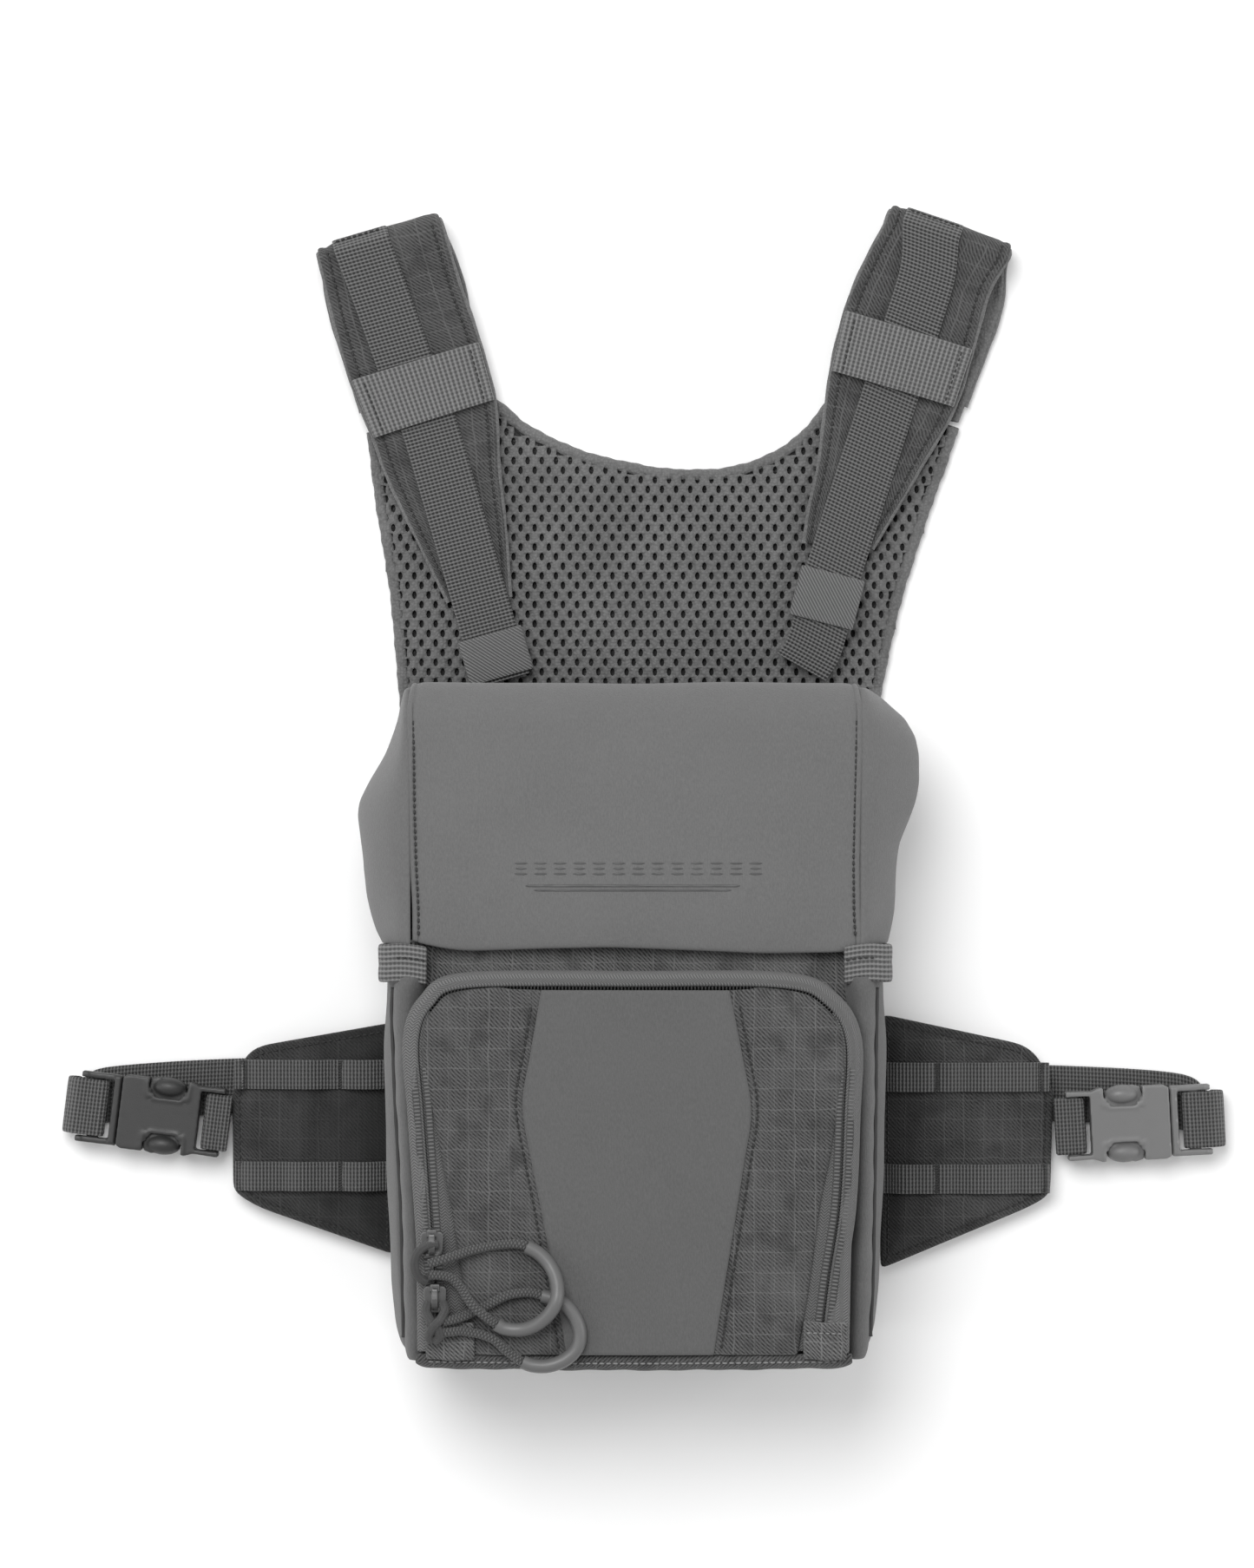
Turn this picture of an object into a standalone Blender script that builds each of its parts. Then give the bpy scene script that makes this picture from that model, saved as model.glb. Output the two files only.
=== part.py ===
"""Binocular chest harness, laid on its back.

Metres, +Z up.  The origin is on the floor under the middle of the pack, +Y runs
from the pack towards the shoulder straps, and the pack's front faces +Z.
Every length below is in millimetres and is scaled once, when a mesh is made.
"""
import math

import bmesh
import bpy
from mathutils import Matrix, Vector

MM = 0.001            # millimetres to metres
GAP = 0.3             # clearance kept between touching pieces

# Pack
PACK_LEFT, PACK_RIGHT = -80.0, 81.0     # seam lines of the main pouch
PACK_FOOT, PACK_HEAD = -117.0, 121.0    # lower and upper ends along Y
BACK_Z = (6.0, 13.5)                    # padded back panel
POUCH_Z = (13.8, 82.0)                  # main pouch, floor side to front wall
WALL = 3.0                              # foam-cored pouch wall
LID_T = 3.5                             # lid panel thickness
LID_FRONT_Z = 87.75                     # middle of the lid's front panel
LID_EDGE_Y = 29.0                       # free lower edge of the lid
LID_AXIS = (0.0, 122.0, 22.0)
POCKET_TOP_Z = 100.0                    # height of the zip line
FLAP_AXIS = (0.0, -116.8, 100.3)
FLAP_Z = (100.7, 103.0)

# Harness
YOKE_Z = (0.0, 4.5)
STRAP_T = 4.6                           # padded shoulder strap
STRAP_BACK_Z = 2.6
STRAP_FRONT_Z = 8.0
FOLD_R = 6.0                            # radius of the fold at the top
WEB_T = 1.4                             # 20 mm webbing
WEB_W = 21.0
WEB_OVER = STRAP_T / 2 + GAP + WEB_T / 2
BAND_OVER = WEB_OVER + WEB_T / 2 + GAP + 0.7

# Wings and side-release buckles
WING_Z = (3.5, 11.0)
ROW_T = 1.4
BUCKLE_Z = 9.4                          # middle of the buckle
SOCKET_L, SOCKET_W, SOCKET_H = 29.0, 27.6, 9.0
REAR_RUN_Z = 1.35
PRONG_ROOT = (1.0, 6.0)                 # prong pivot, along and across the buckle

# Zip pulls
CORD_D = 3.3
GRIP_D = 5.0

for old in list(bpy.data.objects):
    bpy.data.objects.remove(old, do_unlink=True)


# ---------------------------------------------------------------- materials
def material(name, grey, roughness, metallic=0.0):
    mat = bpy.data.materials.new(name)
    mat.use_nodes = True
    shader = mat.node_tree.nodes["Principled BSDF"]
    shader.inputs["Base Color"].default_value = (grey, grey, grey, 1.0)
    shader.inputs["Roughness"].default_value = roughness
    shader.inputs["Metallic"].default_value = metallic
    return mat


SOFTSHELL = material("softshell", 0.18, 0.9)
RIPSTOP = material("ripstop", 0.11, 0.85)
WING_CLOTH = material("wing_cloth", 0.07, 0.85)
MESH = material("spacer_mesh", 0.16, 0.95)
WEBBING = material("webbing", 0.12, 0.8)
ELASTIC = material("elastic", 0.22, 0.85)
ZIP = material("zip_tape", 0.2, 0.7)
ACETAL = material("acetal", 0.1, 0.45)
STEEL = material("painted_zinc", 0.08, 0.4, 0.8)
CORD = material("cord", 0.1, 0.8)
RUBBER = material("tube_rubber", 0.16, 0.6)


# ---------------------------------------------------------------- placing
pivots = {}


def pivot(name, at, parent=None):
    """An empty on a joint's axis; the pieces that move with it hang from it."""
    empty = bpy.data.objects.new(name, None)
    bpy.context.collection.objects.link(empty)
    origin = Vector(at) * MM
    if parent:
        empty.parent = bpy.data.objects[parent]
        empty.location = origin - pivots[parent]
    else:
        empty.location = origin
    pivots[name] = origin
    return empty


def place(obj, mat, on=None):
    bpy.context.collection.objects.link(obj)
    obj.data.materials.append(mat)
    if on:
        obj.data.transform(Matrix.Translation(-pivots[on]))
        obj.parent = bpy.data.objects[on]
    return obj


# ---------------------------------------------------------------- shapes
def solid(name, points, faces, mat, on=None):
    mesh = bpy.data.meshes.new(name)
    mesh.from_pydata([Vector(p) * MM for p in points], [], faces)
    bm = bmesh.new()
    bm.from_mesh(mesh)
    bmesh.ops.recalc_face_normals(bm, faces=bm.faces)
    bm.to_mesh(mesh)
    bm.free()
    return place(bpy.data.objects.new(name, mesh), mat, on)


def prism(name, outline, z_low, z_high, mat, on=None):
    """A plan outline raised between two heights."""
    count = len(outline)
    points = [(x, y, z_low) for x, y in outline] + [(x, y, z_high) for x, y in outline]
    faces = [tuple(range(count)), tuple(range(count, 2 * count))]
    for i in range(count):
        j = (i + 1) % count
        faces.append((i, j, count + j, count + i))
    return solid(name, points, faces, mat, on)


def shell(name, rows, thickness, mat, on=None):
    """A solid sheet: rows of points on its middle surface, thickened both ways."""
    grid = [[Vector(p) for p in row] for row in rows]
    high, wide = len(grid), len(grid[0])
    points = []
    for side in (0.5, -0.5):
        for i in range(high):
            along = grid[min(i + 1, high - 1)]
            before = grid[max(i - 1, 0)]
            for j in range(wide):
                run = along[j] - before[j]
                across = grid[i][min(j + 1, wide - 1)] - grid[i][max(j - 1, 0)]
                normal = run.cross(across).normalized()
                points.append(grid[i][j] + normal * side * thickness)
    faces = []
    layer = high * wide
    for i in range(high - 1):
        for j in range(wide - 1):
            a = i * wide + j
            quad = (a, a + 1, a + wide + 1, a + wide)
            faces.append(quad)
            faces.append(tuple(layer + k for k in reversed(quad)))
    rim = [j for j in range(wide)]
    rim += [i * wide + wide - 1 for i in range(1, high)]
    rim += [(high - 1) * wide + j for j in range(wide - 2, -1, -1)]
    rim += [i * wide for i in range(high - 2, 0, -1)]
    for k, a in enumerate(rim):
        b = rim[(k + 1) % len(rim)]
        faces.append((a, b, layer + b, layer + a))
    return solid(name, points, faces, mat, on)


def block(name, low, high, mat, on=None):
    """A plain box between two corners."""
    outline = [(low[0], low[1]), (high[0], low[1]), (high[0], high[1]), (low[0], high[1])]
    return prism(name, outline, low[2], high[2], mat, on)


def cut(obj, cutter):
    """Take the cutter's volume out of a piece."""
    cutter.hide_render = True
    cutter.display_type = "WIRE"
    step = obj.modifiers.new("cut", "BOOLEAN")
    step.operation = "DIFFERENCE"
    step.object = cutter


def join(obj, other):
    """Add a helper solid's volume to a piece."""
    cut(obj, other)
    obj.modifiers[-1].operation = "UNION"


def rounded(outline, radius, steps=3):
    """The outline with each corner turned into an arc."""
    result = []
    count = len(outline)
    for i in range(count):
        here = Vector(outline[i])
        back = (Vector(outline[i - 1]) - here)
        on = (Vector(outline[(i + 1) % count]) - here)
        reach = min(radius, back.length / 2.2, on.length / 2.2)
        start = here + back.normalized() * reach
        end = here + on.normalized() * reach
        for k in range(steps + 1):
            t = k / steps
            point = start * (1 - t) ** 2 + here * 2 * t * (1 - t) + end * t ** 2
            result.append((point.x, point.y))
    return result


def smooth(points, per_span):
    """A smooth curve through the points."""
    pts = [Vector(p) for p in points]
    pts = [pts[0] * 2 - pts[1]] + pts + [pts[-1] * 2 - pts[-2]]
    curve = []
    for i in range(1, len(pts) - 2):
        a, b, c, d = pts[i - 1:i + 3]
        for k in range(per_span):
            t = k / per_span
            curve.append(((2 * b) + (c - a) * t + (2 * a - 5 * b + 4 * c - d) * t * t
                          + (3 * b - a - 3 * c + d) * t ** 3) / 2)
    curve.append(pts[-2])
    return curve


def beside(path, distance):
    """The path moved sideways: positive is to the right of its direction."""
    moved = []
    for i, point in enumerate(path):
        run = (path[min(i + 1, len(path) - 1)] - path[max(i - 1, 0)]).normalized()
        moved.append((point.x + run.y * distance, point.y - run.x * distance))
    return moved


def tube(name, points, diameter, per_span, mat, on=None):
    """A round cord or tube along a smooth curve through the points."""
    data = bpy.data.curves.new(name, "CURVE")
    data.dimensions = "3D"
    data.bevel_depth = diameter * MM / 2
    data.bevel_resolution = 2
    data.use_fill_caps = True
    route = smooth(points, per_span)
    line = data.splines.new("POLY")
    line.points.add(len(route) - 1)
    shift = pivots[on] if on else Vector((0, 0, 0))
    for target, point in zip(line.points, route):
        target.co = (*(point * MM - shift), 1.0)
    obj = bpy.data.objects.new(name, data)
    bpy.context.collection.objects.link(obj)
    data.materials.append(mat)
    if on:
        obj.parent = bpy.data.objects[on]
    return obj


# ---------------------------------------------------------------- pivots
SIDES = (("left", -1), ("right", 1))
WING_AXIS = {"left": (-90.0, -44.0, 7.0), "right": (93.0, -46.0, 7.0)}
pivot("lid_pivot", LID_AXIS)
pivot("flap_pivot", FLAP_AXIS)
for side, _ in SIDES:
    pivot(f"wing_{side}_pivot", WING_AXIS[side])

# ---------------------------------------------------------------- back yoke
YOKE_NECK = [(-55, 233), (-42, 221), (-29, 214), (-3, 206.5), (23, 203.5), (46, 206.5),
             (65, 218.5), (76, 232)]
YOKE_OUTLINE = YOKE_NECK + [(121, 222), (111, 194), (99.5, 158), (91, 120), (86, 60),
                            (86, -46), (-85, -46), (-85, 60), (-87, 125), (-90.5, 161),
                            (-95.5, 192), (-99, 219)]
prism("back_yoke", YOKE_OUTLINE, *YOKE_Z, MESH)

# ---------------------------------------------------------------- shoulder straps
# Each strap runs up from the pack, folds under at the top and comes back to the yoke.
# Stations of the front layer: left edge, right edge, height above its resting level.
STRAPS = {
    "left": {
        "front": [((-69, 156), (-46.5, 158), 0), ((-80, 178), (-48, 182), 0),
                  ((-92, 203), (-50.5, 205), 0), ((-97, 217), (-52, 230), 0),
                  ((-106, 240), (-58, 254), 1.5), ((-112, 261.5), (-65, 274), 3.5)],
        "fold": ((-118.3, 287.6), (-72.9, 300.9)),
        "back": [((-113, 262), (-64, 275)), ((-99.5, 220.5), (-56, 234.3))],
    },
    "right": {
        "front": [((64, 178), (89, 176), 0), ((66, 192), (99, 192.5), 0),
                  ((69.5, 208), (108, 208), 0), ((73.7, 241), (119.5, 228), 0),
                  ((79.6, 266), (127, 252), 2.5), ((86.7, 283), (132.5, 272), 5)],
        "fold": ((96.4, 303.9), (141.2, 288.9)),
        "back": [((91, 275), (137, 264)), ((77, 233.3), (121.8, 223.4))],
    },
}


def fold_station(strap, angle, radius):
    """A station on the fold, at an angle from its top, radius from the fold's centre."""
    left, right = (Vector(p) for p in strap["fold"])
    run = (right - left).normalized()
    outward = Vector((-run.y, run.x))
    inset = FOLD_R + STRAP_T / 2
    reach = radius * math.sin(angle) - inset
    z = STRAP_BACK_Z + FOLD_R + radius * math.cos(angle)
    return [(*(p + outward * reach), z) for p in (left, right)]


for side, _ in SIDES:
    strap = STRAPS[side]
    rows = [[(*l, STRAP_FRONT_Z + lift), (*r, STRAP_FRONT_Z + lift)]
            for l, r, lift in strap["front"]]
    rows += [fold_station(strap, math.radians(a), FOLD_R) for a in range(0, 181, 30)]
    rows += [[(*l, STRAP_BACK_Z), (*r, STRAP_BACK_Z)] for l, r in strap["back"]]
    shell(f"shoulder_strap_{side}", rows, STRAP_T, RIPSTOP)

# ---------------------------------------------------------------- strap webbing
# One length of 20 mm webbing lies on each strap, from over the fold to the pack.
# Stations: middle of the webbing, height above the strap's front layer.
WEBS = {
    "left": [(-48.8, 126.5, 0), (-53.5, 143, 0), (-75.9, 220, 0), (-85.2, 244.5, 1.5),
             (-92.5, 265, 3.8)],
    "right": [(62.5, 131.5, 0), (67.9, 141, 0), (75.2, 169, 0), (95.7, 233, 0),
              (103.8, 259, 3.0), (109.5, 278.5, 5.7)],
}
WEB_FOLD_SHARE = {"left": (0.13, 0.58), "right": (0.12, 0.59)}
for side, _ in SIDES:
    rows = []
    stations = [Vector(s) for s in WEBS[side]]
    for i, here in enumerate(stations):
        run = stations[min(i + 1, len(stations) - 1)] - stations[max(i - 1, 0)]
        across = Vector((run.y, -run.x)).normalized() * WEB_W / 2
        z = STRAP_FRONT_Z + WEB_OVER + here.z
        rows.append([(here.x - across.x, here.y - across.y, z),
                     (here.x + across.x, here.y + across.y, z)])
    for angle in range(0, 91, 30):
        ends = fold_station(STRAPS[side], math.radians(angle), FOLD_R + WEB_OVER)
        left, right = (Vector(p) for p in ends)
        rows.append([left.lerp(right, share) for share in WEB_FOLD_SHARE[side]])
    shell(f"strap_web_{side}", rows, WEB_T, WEBBING)

# ---------------------------------------------------------------- elastic bands
# A ribbed elastic band crosses strap and webbing and is sewn down at both edges.
BANDS = {
    "left": ((-104.5, 239), (-59, 252.8), (-53, 231.2), (-96, 217.5), 0.9),
    "right": ((80, 264.5), (125.5, 250.5), (118.5, 229), (74.8, 242), 1.6),
}
for side, _ in SIDES:
    top_l, top_r, low_r, low_l, tilt = BANDS[side]
    rows = []
    for share, over in ((0, 0), (0.1, 0), (0.2, 1), (0.5, 1), (0.8, 1), (0.9, 0), (1, 0)):
        base = STRAP_FRONT_Z + tilt + (BAND_OVER if over else STRAP_T / 2 + 1.6)
        low = Vector(low_l).lerp(Vector(low_r), share)
        top = Vector(top_l).lerp(Vector(top_r), share)
        rows.append([(*low, base), (*top, base + tilt)])
    shell(f"strap_band_{side}", rows, 1.2, ELASTIC)

# ---------------------------------------------------------------- webbing keepers
# A twill loop round each webbing, which slides along it.
KEEPERS = {
    "left": ((-51.5, 136.0), -74.1, 17.0),
    "right": ((72.2, 157.6), -104.6, 19.0),
}
for side, _ in SIDES:
    (x, y), heading, length = KEEPERS[side]
    z = STRAP_FRONT_Z + WEB_OVER
    pivot(f"keeper_{side}_pivot", (x, y, z))
    turn = Matrix.Rotation(math.radians(heading), 3, "Z")

    def loop_box(name, half_width, half_height, reach, mat):
        corners = [turn @ Vector((u, v, 0)) for u, v in
                   ((-reach, -half_width), (reach, -half_width),
                    (reach, half_width), (-reach, half_width))]
        outline = [(x + c.x, y + c.y) for c in corners]
        return prism(name, outline, z - half_height, z + half_height, mat,
                     f"keeper_{side}_pivot")

    keeper = loop_box(f"web_keeper_{side}", 12.4, 2.3, length / 2, WEBBING)
    cut(keeper, loop_box(f"keeper_{side}_slot", 11.2, 1.2, length, WEBBING))

# ---------------------------------------------------------------- back panel, pouch
prism("back_panel", rounded([(-87, -118), (88, -118), (88, PACK_HEAD), (-87, PACK_HEAD)], 12),
      *BACK_Z, MESH)
wall_in = PACK_LEFT + 0.5 + WALL
wall_out = PACK_RIGHT - 0.5 - WALL
pouch_base, pouch_front = POUCH_Z
front_low = pouch_front - WALL
block("pouch_side_left", (PACK_LEFT + 0.5, PACK_FOOT + WALL + GAP, pouch_base),
      (wall_in, 118, front_low - GAP), RIPSTOP)
block("pouch_side_right", (wall_out, PACK_FOOT + WALL + GAP, pouch_base),
      (PACK_RIGHT - 0.5, 118, front_low - GAP), RIPSTOP)
block("pouch_bottom", (PACK_LEFT + 0.5, PACK_FOOT, pouch_base),
      (PACK_RIGHT - 0.5, PACK_FOOT + WALL, front_low - GAP), RIPSTOP)
block("pouch_front_wall", (PACK_LEFT + 0.5, PACK_FOOT, front_low),
      (PACK_RIGHT - 0.5, 112, pouch_front), RIPSTOP)

# ---------------------------------------------------------------- stretch side pockets
POCKET_REACH = [(16, 9.5), (-6, 10.8), (-67, 9.2), (-110, 6.0), (-116, 3.6)]
POCKET_Z = (20.0, 80.0)
for side, sign in SIDES:
    seam = PACK_LEFT + 0.5 - GAP if side == "left" else PACK_RIGHT - 0.5 + GAP

    def pocket_outline(thin, y_top):
        edge = [(seam + sign * (reach - thin), min(y, y_top)) for y, reach in POCKET_REACH]
        edge[0] = (edge[0][0], y_top)
        return edge

    outer = [(seam, 16)] + pocket_outline(0, 16) + [(seam, -116)]
    pocket = prism(f"side_pocket_{side}", outer, *POCKET_Z, ELASTIC)
    inner = [(seam - sign * 2, 18)] + pocket_outline(1.6, 18)[:4] + [(seam - sign * 2, -110)]
    cut(pocket, prism(f"side_pocket_{side}_space", inner, POCKET_Z[0] + 1.6,
                      POCKET_Z[1] - 1.6, ELASTIC))
    ends = sorted((seam, seam + sign * 9.0))
    trim = block(f"side_pocket_elastic_{side}", (ends[0], 16 + GAP, POCKET_Z[0]),
                 (ends[1], 28, POCKET_Z[1]), ELASTIC)
    space = sorted((seam - sign * 2, seam + sign * 7.0))
    cut(trim, block(f"side_pocket_elastic_{side}_space", (space[0], 10, POCKET_Z[0] + 2),
                    (space[1], 34, POCKET_Z[1] - 2), ELASTIC))

# ---------------------------------------------------------------- front pocket and zip
ZIP_ROUTE = [(-70, -112), (-71.5, -90), (-73, -66), (-75.5, -30), (-77.2, -4), (-72, 9),
             (-59, 15.7), (0, 16), (53, 15.7), (68.5, 9), (76, -4), (75.5, -30),
             (74, -63), (70, -90), (67, -112)]
zip_line = [Vector(p) for p in smooth(ZIP_ROUTE, 3)]


def zip_band(name, outer, inner, z_low, z_high, mat, on=None):
    """A flat band beside the zip line, between two distances from it."""
    outline = beside(zip_line, outer) + list(reversed(beside(zip_line, inner)))
    return prism(name, outline, z_low, z_high, mat, on)


zip_band("pocket_gusset", -4.4, -2.4, pouch_front + GAP, POCKET_TOP_Z - GAP, RIPSTOP)
zip_band("zip_tape_outer", -5.0, -1.3, POCKET_TOP_Z, POCKET_TOP_Z + 1.2, ZIP)
zip_band("zip_coil", -1.0, 1.0, POCKET_TOP_Z, POCKET_TOP_Z + 1.9, ZIP)

FLAP_FOOT_Y = FLAP_AXIS[1] + 0.2
CENTRE_LEFT = [(-24, FLAP_FOOT_Y), (-33, -66), (-40, -27), (-33, 13)]
CENTRE_RIGHT = [(34, 13), (42, -29), (36, -70), (28.5, FLAP_FOOT_Y)]
side_left = [(-58.0 + 0.3, FLAP_FOOT_Y), (-66, -60), (-69.5, -38), (-72.1, -14), (-73.5, -5),
             (-69.5, 7.5), (-57, 12.9), (-33 - GAP, 13)]
side_left += [(x - GAP, y) for x, y in reversed(CENTRE_LEFT[:3])]
prism("flap_side_left", side_left, *FLAP_Z, RIPSTOP, "flap_pivot")
prism("flap_centre", CENTRE_LEFT + CENTRE_RIGHT, *FLAP_Z, SOFTSHELL, "flap_pivot")
side_right = [(x + GAP, y) for x, y in CENTRE_RIGHT]
side_right += [(59, FLAP_FOOT_Y), (67, -63), (71, -29), (72.5, -5), (66, 7.5), (52.5, 12.9)]
prism("flap_side_right", side_right, *FLAP_Z, RIPSTOP, "flap_pivot")

hem_rows = []
for k in range(7):
    angle = math.radians(90 - 30 * k)
    y = -117.6 - 4.4 * max(0.0, math.cos(angle))
    z = 92.2 + 6.4 * math.sin(angle)
    hem_rows.append([(-80, y, z), (0, y - 0.8, z), (79, y, z)])
shell("bottom_hem", hem_rows, 1.6, RIPSTOP)

# ---------------------------------------------------------------- lid
lid_profile = [(LID_EDGE_Y, LID_FRONT_Z - 0.6), (60, LID_FRONT_Z), (110, LID_FRONT_Z)]
LID_CORNER_R = 13.0
for k in range(1, 4):
    angle = math.radians(90 - 30 * k)
    lid_profile.append((110 + LID_CORNER_R * math.cos(angle),
                        LID_FRONT_Z - LID_CORNER_R + LID_CORNER_R * math.sin(angle)))
lid_profile += [(123, 50), (123, 22)]
shell("lid_panel", [[(PACK_LEFT, y, z), (PACK_RIGHT, y, z)] for y, z in lid_profile],
      LID_T, SOFTSHELL, "lid_pivot")

# The hood's side gussets stand proud of the pouch and swell half-way down.
EAR_SWELL = {
    "left": [(30, 8.5), (48, 15), (66, 17.5), (80, 17), (98, 8.5), (110, 4.5), (119, 1.8)],
    "right": [(30, 9.5), (48, 12.5), (66, 16.5), (80, 19.5), (98, 20), (110, 13.5), (119, 5)],
}
EAR_TOP_Z, EAR_LOW_Z = 87.0, 17.0
for side, sign in SIDES:
    seam = PACK_LEFT - 1.9 if side == "left" else PACK_RIGHT + 1.9
    rows = []
    for y, swell in EAR_SWELL[side]:
        row = []
        for k in range(7):
            t = k / 6
            row.append((seam + sign * swell * math.sin(math.pi * t) ** 0.8 if 0 < k < 6
                        else seam, y, EAR_TOP_Z + (EAR_LOW_Z - EAR_TOP_Z) * t))
        rows.append(row)
    shell(f"lid_gusset_{side}", rows, 2.2, SOFTSHELL, "lid_pivot")


def disc(name, centre, radius, z_low, z_high, mat, on=None):
    ring = [(centre[0] + radius * math.cos(a), centre[1] + radius * math.sin(a))
            for a in (math.tau * k / 16 for k in range(16))]
    return prism(name, ring, z_low, z_high, mat, on)


for side, sign in SIDES:
    disc(f"lid_magnet_{side}", (sign * 52, 40), 7, 83.6, 85.2, STEEL, "lid_pivot")
    disc(f"catch_plate_{side}", (sign * 52, 40), 7.5, 82.3, 83.3, STEEL)

# ---------------------------------------------------------------- zip sliders and pulls
# Both sliders stand on the left run of the zip.  A bridge arches over each slider's
# body, and a cord loop is hitched to the bridge as its pull.
SLIDER_BASE_Z = POCKET_TOP_Z + 3.4
SLIDER_T = 2.0
SLIDERS = {"upper": (-72.3, -76.5), "lower": (-71.2, -96.0)}
for level, (x, y) in SLIDERS.items():
    on = f"slider_{level}_pivot"
    pivot(on, (x, y, SLIDER_BASE_Z), "flap_pivot")
    body = rounded([(x - 3.6, y - 4.5), (x + 3.6, y - 4.5), (x + 4.2, y + 4.5),
                    (x - 4.2, y + 4.5)], 2)
    prism(f"zip_slider_{level}", body, SLIDER_BASE_Z, SLIDER_BASE_Z + SLIDER_T, STEEL, on)
    arch = []
    for step in range(9):
        angle = math.radians(180 - 22.5 * step)
        along = y + 3.6 * math.cos(angle)
        height = SLIDER_BASE_Z + SLIDER_T + 0.6 + 2.4 * math.sin(angle)
        arch.append([(x - 1.1, along, height), (x + 1.1, along, height)])
    shell(f"slider_bridge_{level}", arch, 0.8, STEEL, on)
    pivot(f"pull_{level}_pivot", (x - 2.0, y - 7.0, SLIDER_BASE_Z + SLIDER_T + 1.5), on)

# Pull cords: each leaves the bridge, runs through a soft tube grip and comes back.
UPPER_OUT = [(-73.5, -83.3, 108.6), (-68.5, -81.9, 108.3), (-64, -80.6, 107.0),
             (-59.7, -79.2, 106.0), (-55.3, -78.1, 105.5), (-50.8, -77.2, 105.3),
             (-46.3, -76.6, 105.6), (-43.3, -76.4, 106.0), (-40.6, -76.6, 106.4)]
UPPER_GRIP = [(-38.4, -77.3, 106.2), (-33.6, -80.1, 106.2), (-29.6, -84.8, 107.0),
              (-27.5, -90.2, 109.2), (-27.6, -96.0, 111.2), (-30.4, -101.2, 110.6),
              (-35.2, -105.2, 108.6), (-40.6, -107.0, 107.0), (-46.2, -106.6, 106.6),
              (-49.2, -105.0, 107.0)]
UPPER_BACK = [(-51.2, -103.6, 107.6), (-53.6, -101.6, 108.7), (-56, -99.8, 109.1),
              (-58.1, -97.6, 108.8), (-59.8, -95.1, 107.8), (-61.5, -92.5, 106.6),
              (-63.4, -90.2, 106.2), (-65.9, -88.4, 106.2), (-69.5, -87.5, 107.0),
              (-73.5, -87.4, 108.0)]
LOWER_OUT = [(-68.8, -104.2, 108.2), (-65.4, -103.6, 107.0), (-62.3, -102.8, 106.0),
             (-59.5, -101.8, 105.4), (-56.4, -100.4, 105.2), (-53.1, -98.8, 105.2),
             (-49.8, -97.0, 105.2), (-46.3, -95.3, 105.2), (-43.4, -94.4, 105.2),
             (-40.6, -94.0, 105.2), (-37.8, -93.9, 105.2), (-35.1, -94.2, 105.2)]
LOWER_GRIP = [(-33.0, -94.9, 105.6), (-29.0, -96.0, 105.7), (-25.1, -97.8, 105.8),
              (-21.3, -102.2, 105.9), (-19.3, -108.1, 105.9), (-20.4, -113.6, 105.9),
              (-24.7, -117.8, 105.9), (-30.6, -120.0, 105.9), (-36.2, -119.9, 105.9),
              (-39.8, -118.6, 105.9)]
LOWER_BACK = [(-41.9, -117.3, 105.7), (-44.6, -115.4, 105.3), (-46.9, -113.6, 105.2),
              (-48.7, -111.8, 105.2), (-50.6, -110.4, 105.2), (-54.7, -108.8, 105.2),
              (-58.5, -108.1, 105.2), (-62.3, -107.6, 105.6), (-65.6, -107.8, 106.8),
              (-68.8, -108.0, 108.0)]
for level, out, grip, back in (("upper", UPPER_OUT, UPPER_GRIP, UPPER_BACK),
                               ("lower", LOWER_OUT, LOWER_GRIP, LOWER_BACK)):
    tube(f"pull_cord_{level}_out", out, CORD_D, 1, CORD, f"pull_{level}_pivot")
    tube(f"pull_grip_{level}", grip, GRIP_D, 2, RUBBER, f"pull_{level}_pivot")
    tube(f"pull_cord_{level}_back", back, CORD_D, 1, CORD, f"pull_{level}_pivot")

# ---------------------------------------------------------------- padded wings
WINGS = {
    "left": [(-91, -1), (-145, -10.5), (-149.8, -26), (-149.4, -62), (-141, -69.5), (-91, -88)],
    "right": [(94, 2), (150, -10), (157, -26), (155.5, -64), (149, -68.5), (94, -93)],
}
ROWS = {
    "left": ((-15, -26), (-53, -64), -149.2, -94.0),
    "right": ((-16, -27), (-54, -65), 155.2, 97.0),
}
for side, sign in SIDES:
    on = f"wing_{side}_pivot"
    prism(f"wing_{side}", rounded(WINGS[side], 5), *WING_Z, WING_CLOTH, on)
    upper, lower, outer_x, inner_x = ROWS[side]
    for label, (y_high, y_low) in (("upper", upper), ("lower", lower)):
        ends = sorted((outer_x, inner_x))
        block(f"wing_web_{label}_{side}", (ends[0], y_low, WING_Z[1] + GAP),
              (ends[1], y_high, WING_Z[1] + GAP + ROW_T), WEBBING, on)

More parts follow.
